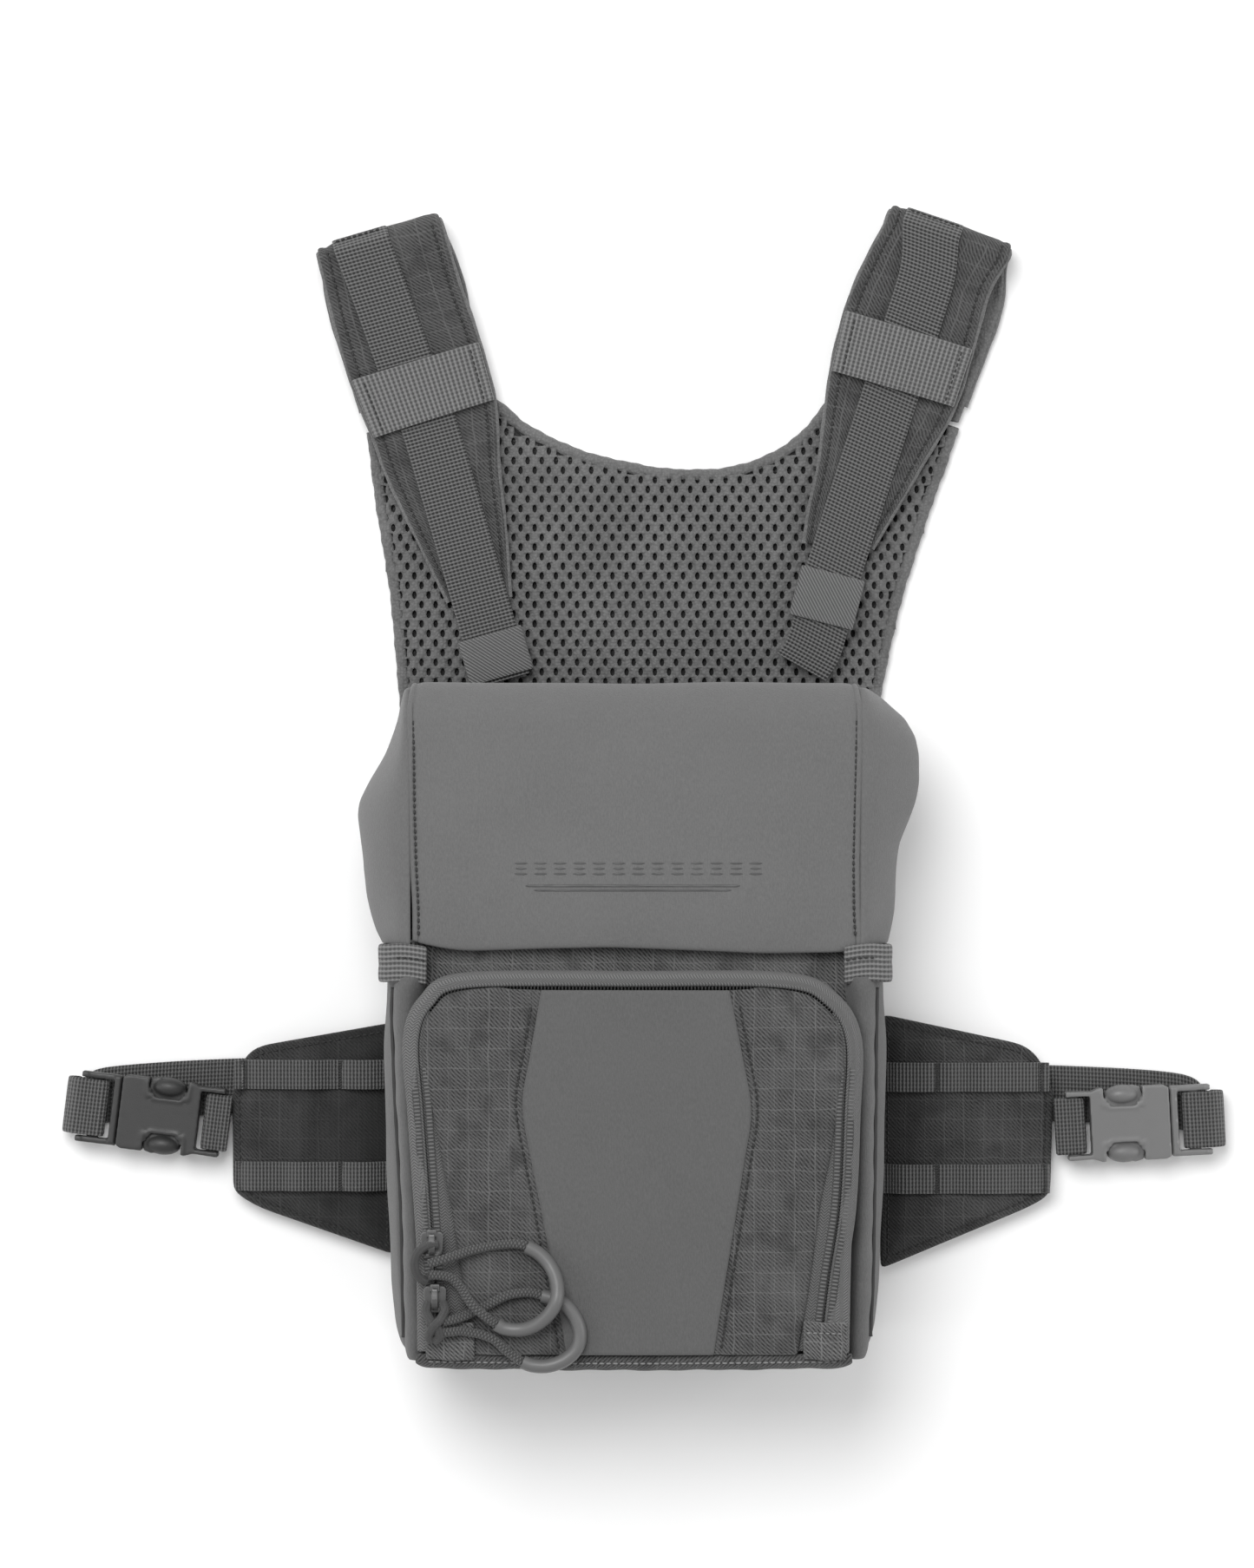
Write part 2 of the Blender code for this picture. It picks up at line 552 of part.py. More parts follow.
# ---------------------------------------------------------------- side-release buckles
# Along u the buckle runs from the plug's outer end to the socket's tail; v is across.
BUCKLES = {"left": ((-192.0, -34.0), -7.0, 41.2), "right": ((200.3, -38.0), 183.0, 42.8)}
REAR_RUN = {"left": [(-196, -28.5), (-150, -25.5), (-92, -25)],
            "right": [(204, -31), (157, -28), (95, -27)]}
BAR_T = 2.8
LOOP_R = 2.6                # webbing turn round a bar
for side, sign in SIDES:
    on = f"wing_{side}_pivot"
    (mouth_x, mouth_y), heading, stub_end = BUCKLES[side]
    turn = Matrix.Rotation(math.radians(heading), 2)

    def at(u, v):
        """A buckle point in the harness's own frame."""
        p = turn @ Vector((u, v))
        return (mouth_x + p.x, mouth_y + p.y)

    def piece(name, outline, z_low, z_high, mat=ACETAL, pivot_name=on):
        return prism(name, [at(u, v) for u, v in outline], z_low, z_high, mat, pivot_name)

    def rect(u0, u1, v0, v1):
        return [(u0, v0), (u1, v0), (u1, v1), (u0, v1)]

    half = SOCKET_W / 2
    low, high = BUCKLE_Z - SOCKET_H / 2, BUCKLE_Z + SOCKET_H / 2
    tail_end = SOCKET_L + 9.5
    shape = [(0, -half + 1), (0, half - 1), (2, half), (SOCKET_L - 3, half),
             (SOCKET_L, half - 1.2), (tail_end, half - 0.9), (tail_end, -half + 0.9),
             (SOCKET_L, -half + 1.2), (SOCKET_L - 3, -half), (2, -half)]
    socket = piece(f"buckle_socket_{side}", shape, low, high)
    cut(socket, piece(f"socket_{side}_cavity", rect(-2, SOCKET_L - 2.5, -11.4, 11.4),
                      BUCKLE_Z - 2.8, BUCKLE_Z + 2.8))
    for label, s in (("a", 1), ("b", -1)):
        cut(socket, piece(f"socket_{side}_notch_{label}", rect(10, 24.5, s * 5.6, s * 20),
                          low - 1, high + 1))
    cut(socket, piece(f"socket_{side}_window", rect(SOCKET_L + 0.6, tail_end - 4.6, -11, 11),
                      low - 1, high + 1))
    for label, z0, z1 in (("over", BUCKLE_Z + BAR_T / 2, high + 1),
                          ("under", low - 1, BUCKLE_Z - BAR_T / 2)):
        cut(socket, piece(f"socket_{side}_bar_{label}", rect(SOCKET_L + 0.6, 45, -11, 11), z0, z1))

    rail_out, rail_in = half - 0.6, 11.0
    frame = [(-15.5, -rail_out), (-GAP, -rail_out), (-GAP, rail_out), (-15.5, rail_out),
             (-15.5, rail_in), (-3.2, rail_in), (-3.2, -rail_in), (-15.5, -rail_in)]
    plug = piece(f"buckle_plug_{side}", frame, BUCKLE_Z - 2.6, BUCKLE_Z + 2.6)
    join(plug, piece(f"plug_{side}_bar", rect(-11.0, -7.4, -11.6, 11.6),
                     BUCKLE_Z - BAR_T / 2, BUCKLE_Z + BAR_T / 2))
    join(plug, piece(f"plug_{side}_tongue", rect(-1.5, 20, -1.2, 1.2),
                     BUCKLE_Z - 1.2, BUCKLE_Z + 1.2))

    for label, s in (("a", 1), ("b", -1)):
        root = at(PRONG_ROOT[0], s * PRONG_ROOT[1])
        pivot(f"prong_{side}_{label}_pivot", (*root, BUCKLE_Z), on)
        prong = [(0.0, 4.2), (0.0, 8.0), (9.5, 9.2), (10.6, 13.6), (13.5, 14.4), (22.5, 11.8),
                 (25.4, 8.0), (23.5, 5.0), (9.5, 5.4)]
        piece(f"buckle_prong_{side}_{label}", [(u, s * v) for u, v in prong],
              BUCKLE_Z - 2.3, BUCKLE_Z + 2.3, ACETAL, f"prong_{side}_{label}_pivot")

    def webbing_loop(name, path, width):
        """Webbing along a path of (u, z) stations, or (x, y, z) ones in the harness frame."""
        rows = []
        for station in path:
            if len(station) == 2:
                u, z = station
                rows.append([(*at(u, -width / 2), z), (*at(u, width / 2), z)])
            else:
                x, y, z = station
                rows.append([(x, y - sign * -width / 2, z), (x, y - sign * width / 2, z)])
        shell(name, rows, WEB_T, WEBBING, on)

    bar_u = tail_end - 2.3
    stub = [(stub_end, BUCKLE_Z + LOOP_R), (bar_u + 0.6, BUCKLE_Z + LOOP_R)]
    stub += [(bar_u - 1.6 - LOOP_R * math.sin(a), BUCKLE_Z + LOOP_R * math.cos(a))
             for a in (math.radians(d) for d in range(0, 181, 45))]
    stub += [(bar_u + 0.6, BUCKLE_Z - LOOP_R), (stub_end, BUCKLE_Z - LOOP_R)]
    webbing_loop(f"stub_web_{side}", stub, WEB_W)

    turn_r = (BUCKLE_Z + LOOP_R - REAR_RUN_Z) / 2
    turn_u, turn_z = -14.9, REAR_RUN_Z + turn_r
    tail = [(-11.5, BUCKLE_Z - LOOP_R)]
    tail += [(-8.2 + LOOP_R * math.sin(a), BUCKLE_Z + LOOP_R * math.cos(a))
             for a in (math.radians(d) for d in range(180, -1, -45))]
    tail += [(turn_u - turn_r * math.sin(a), turn_z + turn_r * math.cos(a))
             for a in (math.radians(d) for d in range(0, 181, 30))]
    tail += [(x, y, REAR_RUN_Z) for x, y in REAR_RUN[side]]
    webbing_loop(f"side_strap_{side}", tail, WEB_W)
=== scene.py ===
"""Looks for the binocular chest harness: every visible piece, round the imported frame."""
import math

import bmesh
import bpy
import numpy as np
from mathutils import Matrix, Vector
from mathutils.bvhtree import BVHTree
from mathutils.geometry import delaunay_2d_cdt


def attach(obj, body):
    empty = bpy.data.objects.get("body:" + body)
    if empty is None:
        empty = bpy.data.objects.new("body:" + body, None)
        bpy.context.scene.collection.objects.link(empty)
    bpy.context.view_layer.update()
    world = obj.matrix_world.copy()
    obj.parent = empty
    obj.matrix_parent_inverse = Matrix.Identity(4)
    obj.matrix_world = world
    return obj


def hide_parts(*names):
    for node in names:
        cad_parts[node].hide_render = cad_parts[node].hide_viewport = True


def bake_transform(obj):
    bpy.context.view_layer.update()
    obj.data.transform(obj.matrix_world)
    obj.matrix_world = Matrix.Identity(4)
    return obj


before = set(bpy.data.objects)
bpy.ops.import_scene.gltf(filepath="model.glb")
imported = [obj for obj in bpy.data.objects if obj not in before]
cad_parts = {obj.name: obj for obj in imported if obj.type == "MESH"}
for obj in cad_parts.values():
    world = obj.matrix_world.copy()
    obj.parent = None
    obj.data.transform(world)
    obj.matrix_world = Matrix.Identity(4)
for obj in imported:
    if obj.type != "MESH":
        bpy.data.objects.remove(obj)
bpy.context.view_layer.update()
MM = 0.001                      # every size below is in millimetres

# ------------------------------------------------------------------ camera, floor and light
# The harness lies on its back on a pale studio table, and a long lens looks
# straight down on it from 2.2 m. The light is large and soft, from above.


def tone(hex_colour):
    """An sRGB hex colour as linear light."""
    parts = [int(hex_colour[i:i + 2], 16) / 255 for i in (1, 3, 5)]
    return (*[c / 12.92 if c <= 0.04045 else ((c + 0.055) / 1.055) ** 2.4 for c in parts], 1.0)


def add(mat, kind, values=None, links=None, **settings):
    """A shader node with its settings, its sockets' values and its links. A link comes
    from an output, or from a node, which stands for its first output."""
    node = mat.node_tree.nodes.new("ShaderNode" + kind)
    for name, value in settings.items():
        setattr(node, name, value)
    for socket, value in (values or {}).items():
        node.inputs[socket].default_value = value
    for socket, source in (links or {}).items():
        output = source.outputs[0] if hasattr(source, "outputs") else source
        mat.node_tree.links.new(output, node.inputs[socket])
    return node


def feed(mat, nodes):
    """Each node's first output drives the shader's socket of that name."""
    shader = mat.node_tree.nodes["Principled BSDF"]
    for socket, node in nodes.items():
        mat.node_tree.links.new(node.outputs[0], shader.inputs[socket])


def finish_of(name, hex_colour, roughness):
    """A new material and its shader, with the finish that is the same all over."""
    mat = bpy.data.materials.new(name)
    mat.use_nodes = True
    shader = mat.node_tree.nodes["Principled BSDF"]
    shader.inputs["Base Color"].default_value = tone(hex_colour)
    shader.inputs["Roughness"].default_value = roughness
    return mat, shader


LENS_HEIGHT = 2200.0            # above the table
VIEW_WIDTH = 451.6              # width seen 90 mm above the table, at the pack's front
VIEW_CENTRE = (-2.5, 88.0)
SENSOR = 36.0
camera_data = bpy.data.cameras.new("camera")
camera_data.sensor_fit = "HORIZONTAL"
camera_data.sensor_width = SENSOR
camera_data.lens = SENSOR * (LENS_HEIGHT - 90) / VIEW_WIDTH
camera = bpy.data.objects.new("camera", camera_data)
camera.location = (VIEW_CENTRE[0] * MM, VIEW_CENTRE[1] * MM, LENS_HEIGHT * MM)
bpy.context.collection.objects.link(camera)
bpy.context.scene.camera = camera

lamps = {                       # place, aim, size, strength in watts
    "overhead": ((-0.35, 0.75, 1.7), (0, 0.05, 0), 1.1, 24.0),
    "left_fill": ((-1.5, -0.1, 1.0), (0, 0.05, 0), 1.0, 6.0),
    "right_fill": ((1.5, 0.1, 1.1), (0, 0.05, 0), 1.0, 9.0),
}
for lamp_name, (place, aim, size, power) in lamps.items():
    lamp = bpy.data.lights.new(lamp_name, "AREA")
    lamp.shape = "DISK"
    lamp.size = size
    lamp.energy = power
    holder = bpy.data.objects.new(lamp_name, lamp)
    holder.location = place
    holder.rotation_euler = (Vector(aim) - Vector(place)).to_track_quat("-Z", "Y").to_euler()
    bpy.context.collection.objects.link(holder)

world = bpy.data.worlds.new("studio")
world.use_nodes = True
world.node_tree.nodes["Background"].inputs["Color"].default_value = (1, 1, 1, 1)
world.node_tree.nodes["Background"].inputs["Strength"].default_value = 0.5
bpy.context.scene.world = world
bpy.context.scene.view_settings.view_transform = "Standard"

table_mat, _ = finish_of("studio_table", "#fbfbfb", 0.9)
table_mesh = bpy.data.meshes.new("table")
table_mesh.from_pydata([(-4, -4, -0.0006), (4, -4, -0.0006), (4, 4, -0.0006), (-4, 4, -0.0006)],
                       [], [(0, 1, 2, 3)])
table = bpy.data.objects.new("table", table_mesh)
table_mesh.materials.append(table_mat)
bpy.context.collection.objects.link(table)

# ------------------------------------------------------------------ pull cords and tube grips
# Braided 3.3 mm polyester cord, cow-hitched round each slider's bridge. A soft
# PVC tube is pushed over the loop's far end and makes it easy to find by feel.


def through(points, step=1.0):
    """A smooth curve through the points, at an even step, as an array."""
    pts = [np.array(p, float) for p in points]
    pts = [2 * pts[0] - pts[1]] + pts + [2 * pts[-1] - pts[-2]]
    fine = []
    for a, b, c, d in zip(pts, pts[1:], pts[2:], pts[3:]):
        for t in np.linspace(0, 1, 12, endpoint=False):
            fine.append((2 * b + (c - a) * t + (2 * a - 5 * b + 4 * c - d) * t * t
                         + (3 * b - a - 3 * c + d) * t ** 3) / 2)
    fine = np.array(fine + [pts[-2]])
    run = np.r_[0, np.cumsum(np.linalg.norm(np.diff(fine, axis=0), axis=1))]
    count = max(2, int(round(run[-1] / step)) + 1)
    even = np.linspace(0, run[-1], count)
    return np.stack([np.interp(even, run, fine[:, k]) for k in range(fine.shape[1])], axis=1)


def picked(line, count):
    """Points picked from a line at an even step, both ends among them."""
    return line[np.linspace(0, len(line) - 1, count).round().astype(int)]


def length_of(points):
    return float(np.linalg.norm(np.diff(np.array(points, float), axis=0), axis=1).sum())


def round_line(name, points, diameter, mat):
    """A round cord or tube: a curve object on one open spline."""
    data = bpy.data.curves.new(name, "CURVE")
    data.dimensions = "3D"
    data.bevel_depth = diameter * MM / 2
    data.bevel_resolution = 5
    data.use_fill_caps = True
    route = through(points, 1.2)
    line = data.splines.new("POLY")
    line.points.add(len(route) - 1)
    line.points.foreach_set("co", np.c_[route * MM, np.ones(len(route))].ravel())
    line.use_smooth = True
    data.materials.append(mat)
    obj = bpy.data.objects.new(name, data)
    bpy.context.collection.objects.link(obj)
    return obj


def in_mm(mat, space):
    """Where a point is on its piece, in millimetres."""
    return add(mat, "VectorMath", {3: 1 / MM}, {0: add(mat, "TexCoord").outputs[space]},
               operation="SCALE")


def wave_of(mat, along, pitch):
    """A sine wave along a coordinate, one rise per pitch."""
    turn = add(mat, "Math", {1: math.tau / pitch}, {0: along}, operation="MULTIPLY")
    return add(mat, "Math", links={0: turn}, operation="SINE")


# Braid: polyester strands cross at a slant, 1.3 mm from one crossing to the next.
BRAID_PITCH = 1.3


def braid(name, hex_colour, cord_length):
    mat, shader = finish_of(name, hex_colour, 0.75)
    uv = add(mat, "TexCoord").outputs["UV"]
    turns = cord_length / BRAID_PITCH
    strands = []
    for slant in (1, -1):
        split = add(mat, "SeparateXYZ", links={0: uv})
        along = add(mat, "Math", {1: turns}, {0: split.outputs[0]}, operation="MULTIPLY")
        around = add(mat, "Math", {1: 4.0 * slant}, {0: split.outputs[1]}, operation="MULTIPLY")
        phase = add(mat, "Math", links={0: along, 1: around})
        wave = wave_of(mat, phase, 2.0)
        strands.append(add(mat, "Math", links={0: wave}, operation="ABSOLUTE"))
    rise = add(mat, "Math", links={0: strands[0], 1: strands[1]}, operation="MULTIPLY")
    shade = add(mat, "MixRGB", {1: tone("#2c2c2c"), 2: tone(hex_colour)}, {0: rise})
    bump = add(mat, "Bump", {"Strength": 0.9, "Distance": 0.0005}, {"Height": rise})
    feed(mat, {"Base Color": shade, "Normal": bump})
    shader.inputs["Sheen Weight"].default_value = 0.15
    return mat


# The tube: soft PVC, extruded, with a dull and slightly hazy skin.
pvc, pvc_shader = finish_of("soft_pvc_tube", "#606060", 0.42)
pvc_shader.inputs["Specular IOR Level"].default_value = 0.45
pvc_haze = add(pvc, "TexNoise", {"Scale": 900.0, "Detail": 3.0})
pvc_bump = add(pvc, "Bump", {"Strength": 0.25, "Distance": 0.0002},
               {"Height": pvc_haze.outputs["Fac"]})
feed(pvc, {"Normal": pvc_bump})

CORD_D, GRIP_D = 3.3, 5.0
CORDS = {
    "upper": (
        [(-73.5, -83.3, 108.6), (-68.5, -81.9, 108.3), (-64, -80.6, 107.0),
         (-59.7, -79.2, 106.0), (-55.3, -78.1, 105.5), (-50.8, -77.2, 105.3),
         (-46.3, -76.6, 105.6), (-43.3, -76.4, 106.0), (-40.6, -76.6, 106.4)],
        [(-38.4, -77.3, 106.2), (-33.6, -80.1, 106.2), (-29.6, -84.8, 107.0),
         (-27.5, -90.2, 109.2), (-27.6, -96.0, 111.2), (-30.4, -101.2, 110.6),
         (-35.2, -105.2, 108.6), (-40.6, -107.0, 107.0), (-46.2, -106.6, 106.6),
         (-49.2, -105.0, 107.0)],
        [(-51.2, -103.6, 107.6), (-53.6, -101.6, 108.7), (-56, -99.8, 109.1),
         (-58.1, -97.6, 108.8), (-59.8, -95.1, 107.8), (-61.5, -92.5, 106.6),
         (-63.4, -90.2, 106.2), (-65.9, -88.4, 106.2), (-69.5, -87.5, 107.0),
         (-73.5, -87.4, 108.0)]),
    "lower": (
        [(-68.8, -104.2, 108.2), (-65.4, -103.6, 107.0), (-62.3, -102.8, 106.0),
         (-59.5, -101.8, 105.4), (-56.4, -100.4, 105.2), (-53.1, -98.8, 105.2),
         (-49.8, -97.0, 105.2), (-46.3, -95.3, 105.2), (-43.4, -94.4, 105.2),
         (-40.6, -94.0, 105.2), (-37.8, -93.9, 105.2), (-35.1, -94.2, 105.2)],
        [(-33.0, -94.9, 105.6), (-29.0, -96.0, 105.7), (-25.1, -97.8, 105.8),
         (-21.3, -102.2, 105.9), (-19.3, -108.1, 105.9), (-20.4, -113.6, 105.9),
         (-24.7, -117.8, 105.9), (-30.6, -120.0, 105.9), (-36.2, -119.9, 105.9),
         (-39.8, -118.6, 105.9)],
        [(-41.9, -117.3, 105.7), (-44.6, -115.4, 105.3), (-46.9, -113.6, 105.2),
         (-48.7, -111.8, 105.2), (-50.6, -110.4, 105.2), (-54.7, -108.8, 105.2),
         (-58.5, -108.1, 105.2), (-62.3, -107.6, 105.6), (-65.6, -107.8, 106.8),
         (-68.8, -108.0, 108.0)]),
}
# The hitch: the cord's bight passes under the bridge and back over its own two runs.
HITCHES = {
    "upper": [(-70.2, -76.4, 107.0), (-73.6, -76.8, 107.6), (-76.6, -78.6, 107.9),
              (-78.2, -81.8, 108.0), (-78.2, -85.6, 108.0), (-76.6, -88.4, 107.4),
              (-74.2, -89.4, 106.2)],
    "lower": [(-73.4, -97.2, 106.6), (-74.4, -100.2, 107.2), (-72.6, -103.6, 108.4),
              (-70.2, -106.2, 109.4), (-69.4, -109.2, 109.0), (-71.2, -110.8, 107.8)],
}
HITCH_RETURN = {
    "lower": [(-68.6, -97.2, 106.6), (-67.6, -100.0, 107.4), (-69.2, -103.2, 109.8),
              (-71.8, -106.0, 110.2), (-73.2, -109.0, 108.6), (-72.4, -111.0, 107.6)],
}
for level, (out, grip, back) in CORDS.items():
    route = out + grip + back
    whole = length_of(through(route))
    cord_mat = braid(f"polyester_braid_{level}", "#616161", whole)
    cord = round_line(f"pull_cord_{level}", route, CORD_D, cord_mat)
    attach(cord, f"pull_{level}")
    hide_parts(f"pull_cord_{level}_out", f"pull_cord_{level}_back")
    tube = round_line(f"tube_grip_{level}", grip, GRIP_D, pvc)
    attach(tube, f"pull_{level}")
    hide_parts(f"pull_grip_{level}")
    for number, loop in enumerate([HITCHES[level]] + ([HITCH_RETURN[level]]
                                                      if level in HITCH_RETURN else [])):
        hitch = round_line(f"cord_hitch_{level}_{number}", loop, CORD_D, cord_mat)
        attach(hitch, f"pull_{level}")

# ------------------------------------------------------------------ back yoke
# One panel of 3D spacer mesh, a warp knit with staggered oval holes in its face
# and a closed dark face below. Its raw edge is turned under and stitched down.


def mesh_piece(name, points, faces, mats, body, uvs=None, face_mats=None, level=0):
    """A piece from points in millimetres; uvs are per point, in metres."""
    mesh = bpy.data.meshes.new(name)
    mesh.from_pydata((np.array(points, float) * MM).tolist(), [], faces)
    bm = bmesh.new()
    bm.from_mesh(mesh)
    inside_out = bm.calc_volume(signed=True) < 0
    bm.free()
    if inside_out:
        mesh.flip_normals()
    for mat in mats:
        mesh.materials.append(mat)
    if face_mats is not None:
        mesh.polygons.foreach_set("material_index", face_mats)
    if uvs is not None:
        layer = mesh.uv_layers.new(name="cloth")
        corners = np.zeros(len(mesh.loops), int)
        mesh.loops.foreach_get("vertex_index", corners)
        layer.data.foreach_set("uv", (np.array(uvs)[corners] * MM).ravel())
    mesh.shade_smooth()
    obj = bpy.data.objects.new(name, mesh)
    bpy.context.collection.objects.link(obj)
    if level:
        soft = obj.modifiers.new("soft", "SUBSURF")
        soft.levels = soft.render_levels = level
    if body:
        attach(obj, body)
    return obj


def tube_faces(rings, sides, base=0):
    """The faces round a tube of point rings."""
    return [(base + i * sides + k, base + i * sides + (k + 1) % sides,
             base + (i + 1) * sides + (k + 1) % sides, base + (i + 1) * sides + k)
            for i in range(rings - 1) for k in range(sides)]


def closed_sheet(name, middle, half, uvs, mats, body, level=1):
    """A closed cloth piece about rows of middle points, (rows, columns, xyz), from half
    its thickness and its uvs. A second material, where there is one, lines its back."""
    rows, columns = middle.shape[:2]
    ring = 2 * columns
    pts = np.concatenate([middle + half, (middle - half)[:, ::-1]], axis=1).reshape(-1, 3)
    uvs = np.concatenate([uvs, uvs[:, ::-1]], axis=1).reshape(-1, 2)
    faces = tube_faces(rows, ring)
    kinds = [int(len(mats) > 1 and columns <= k < ring - 1) for k in range(ring)] * (rows - 1)
    for i, flip in ((0, True), (rows - 1, False)):
        for k in range(columns - 1):
            quad = (i * ring + k, i * ring + k + 1,
                    i * ring + ring - 2 - k, i * ring + ring - 1 - k)
            faces.append(tuple(reversed(quad)) if flip else quad)
            kinds.append(0)
    return mesh_piece(name, pts, faces, mats, body, uvs, kinds, level)


def inside(outline, x, y):
    """Whether a plan point lies inside a closed outline."""
    hit = False
    for (x0, y0), (x1, y1) in zip(outline, np.roll(outline, -1, axis=0)):
        if (y0 > y) != (y1 > y) and x < (x1 - x0) * (y - y0) / (y1 - y0) + x0:
            hit = not hit
    return hit


# Spacer mesh: polyester, 5.3 mm from hole to hole and 3.6 mm from row to row.
HOLE_PITCH, ROW_PITCH = 5.3, 3.6


def spacer_knit(name, low_hex, high_hex, gap_hex):
    """Warp-knit polyester: small matt loops, dark between them and uneven with lint."""
    mat, shader = finish_of(name, high_hex, 0.9)
    at = add(mat, "TexCoord").outputs["Object"]
    knit = add(mat, "TexVoronoi", {"Scale": 950.0, "Randomness": 0.8}, {"Vector": at})
    lint = add(mat, "TexNoise", {"Scale": 45.0, "Detail": 4.0}, {"Vector": at})
    loops = add(mat, "MixRGB", {1: tone(low_hex), 2: tone(high_hex)}, {0: lint.outputs["Fac"]})
    gaps = add(mat, "MixRGB", {0: 0.45, 2: tone(gap_hex)}, {1: loops}, blend_type="MULTIPLY")
    colour = add(mat, "MixRGB", {}, {0: knit.outputs["Distance"], 1: loops, 2: gaps})
    bump = add(mat, "Bump", {"Strength": 0.9, "Distance": 0.0005},
               {"Height": knit.outputs["Distance"]})
    feed(mat, {"Base Color": colour, "Normal": bump})
    shader.inputs["Sheen Weight"].default_value = 0.2
    return mat


spacer = spacer_knit("polyester_spacer_mesh", "#5c5c5c", "#7c7c7c", "#3f3f3f")
spacer_under = spacer_knit("spacer_mesh_inner_face", "#191919", "#202020", "#3f3f3f")

YOKE_TOP = 4.4
YOKE_OUTLINE = np.array([(-55, 233), (-42, 221), (-29, 214), (-3, 206.5), (23, 203.5),
                         (46, 206.5), (65, 218.5), (76, 232), (121, 222), (111, 194),
                         (99.5, 158), (91, 120), (86, 60), (86, -46), (-85, -46), (-85, 60),
                         (-87, 125), (-90.5, 161), (-95.5, 192), (-99, 219)], float)


def yoke_swell(x, y):
    """The mesh lies in slow waves, because nothing fills it."""
    return 0.25 * math.sin(x / 17.0 + y / 31.0) + 0.2 * math.sin(y / 13.0 - x / 40.0)


points, faces, index = [], [], {}


def lattice_point(x, y, drop):
    key = (round(x * 20), round(y * 20), drop)
    if key not in index:
        index[key] = len(points)
        points.append((x, y, YOKE_TOP + yoke_swell(x, y) - drop))
    return index[key]


HOLE_HALF = (0.88, 1.5)
row_count = int((240 - 112) / ROW_PITCH)
for row in range(row_count):
    cy = 112 + row * ROW_PITCH
    for column in range(-22, 25):
        cx = (column + 0.5 * (row % 2)) * HOLE_PITCH
        w, h = HOLE_PITCH / 2, ROW_PITCH / 2
        if not all(inside(YOKE_OUTLINE, cx + dx * 0.55, cy + dy * 0.55)
                   for dx, dy in ((-w, -h), (w, -h), (w, h), (-w, h))):
            continue
        outer = [(-w, -h), (0, -h), (w, -h), (w, 0), (w, h), (0, h), (-w, h), (-w, 0)]
        rim = [lattice_point(cx + dx, cy + dy, 0.0) for dx, dy in outer]
        hole = []
        for dx, dy in outer:
            turn = math.atan2(dy / h, dx / w)
            hole.append(lattice_point(cx + HOLE_HALF[0] * math.cos(turn),
                                      cy + HOLE_HALF[1] * math.sin(turn), 0.45))
        for a in range(8):
            b = (a + 1) % 8
            faces.append((rim[a], rim[b], hole[b], hole[a]))
yoke_face = mesh_piece("yoke_mesh_face", points, faces, [spacer], "harness")
body_of_knit = yoke_face.modifiers.new("knit", "SOLIDIFY")
body_of_knit.thickness = 1.5 * MM
body_of_knit.offset = -1

count = len(YOKE_OUTLINE)
inner_face = mesh_piece(
    "yoke_inner_face",
    [(x * 0.985, y, 0.1) for x, y in YOKE_OUTLINE] + [(x * 0.985, y, 2.0) for x, y in YOKE_OUTLINE],
    [tuple(reversed(range(count))), tuple(range(count, 2 * count))]
    + [(i, (i + 1) % count, count + (i + 1) % count, count + i) for i in range(count)],
    [spacer_under], "harness")
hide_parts("back_yoke")


def rolled_edge(name, route, radius, squash, mat, body, ripple=0.0, sides=10):
    """A soft rolled edge along a route: an oval tube with a slight ripple."""
    route = np.array(route, float)
    run = np.gradient(route, axis=0)
    run /= np.linalg.norm(run, axis=1)[:, None]
    side = np.cross(run, (0, 0, 1.0))
    side /= np.linalg.norm(side, axis=1)[:, None]
    up = np.cross(side, run)
    pts = []
    for i, here in enumerate(route):
        swell = 1 + ripple * math.sin(i * 1.9) + ripple * 0.6 * math.sin(i * 0.83)
        for k in range(sides):
            turn = math.tau * k / sides
            pts.append(here + side[i] * radius * swell * math.cos(turn)
                       + up[i] * radius * squash * swell * math.sin(turn))
    quads = tube_faces(len(route), sides)
    quads.append(tuple(range(sides)))
    quads.append(tuple(reversed(range((len(route) - 1) * sides, len(route) * sides))))
    piece = mesh_piece(name, pts, quads, [mat], body, level=1)
    return piece


NECK_EDGE = [(-60, 236), (-50, 229), (-42, 222), (-29, 215), (-16, 210), (-3, 207), (10, 204.6),
             (23, 204), (34, 204.6), (46, 207.6), (57, 213), (65, 219.5), (72, 228), (76, 236)]
LEFT_EDGE = [(-98, 220), (-96.6, 208), (-94.6, 192), (-91.9, 176), (-89.6, 161), (-88, 145),
             (-86.3, 125), (-85.2, 112)]
RIGHT_EDGE = [(120, 222), (115.4, 208), (110.2, 194), (104.3, 176), (98.7, 158), (94.4, 140),
              (90.5, 120), (89.2, 112)]
for name, edge in (("neck", NECK_EDGE), ("left", LEFT_EDGE), ("right", RIGHT_EDGE)):
    line = through([(x, y, YOKE_TOP - 1.9) for x, y in edge], 1.7)
    rolled_edge(f"yoke_edge_{name}", line, 2.2, 0.9, spacer, "harness", 0.1)

# ------------------------------------------------------------------ shoulder straps
# Padded straps: coated ripstop outside, spacer mesh against the body, both folded in
# at the edges and lock-stitched 3 mm in. Each folds under at the top of the shoulder.


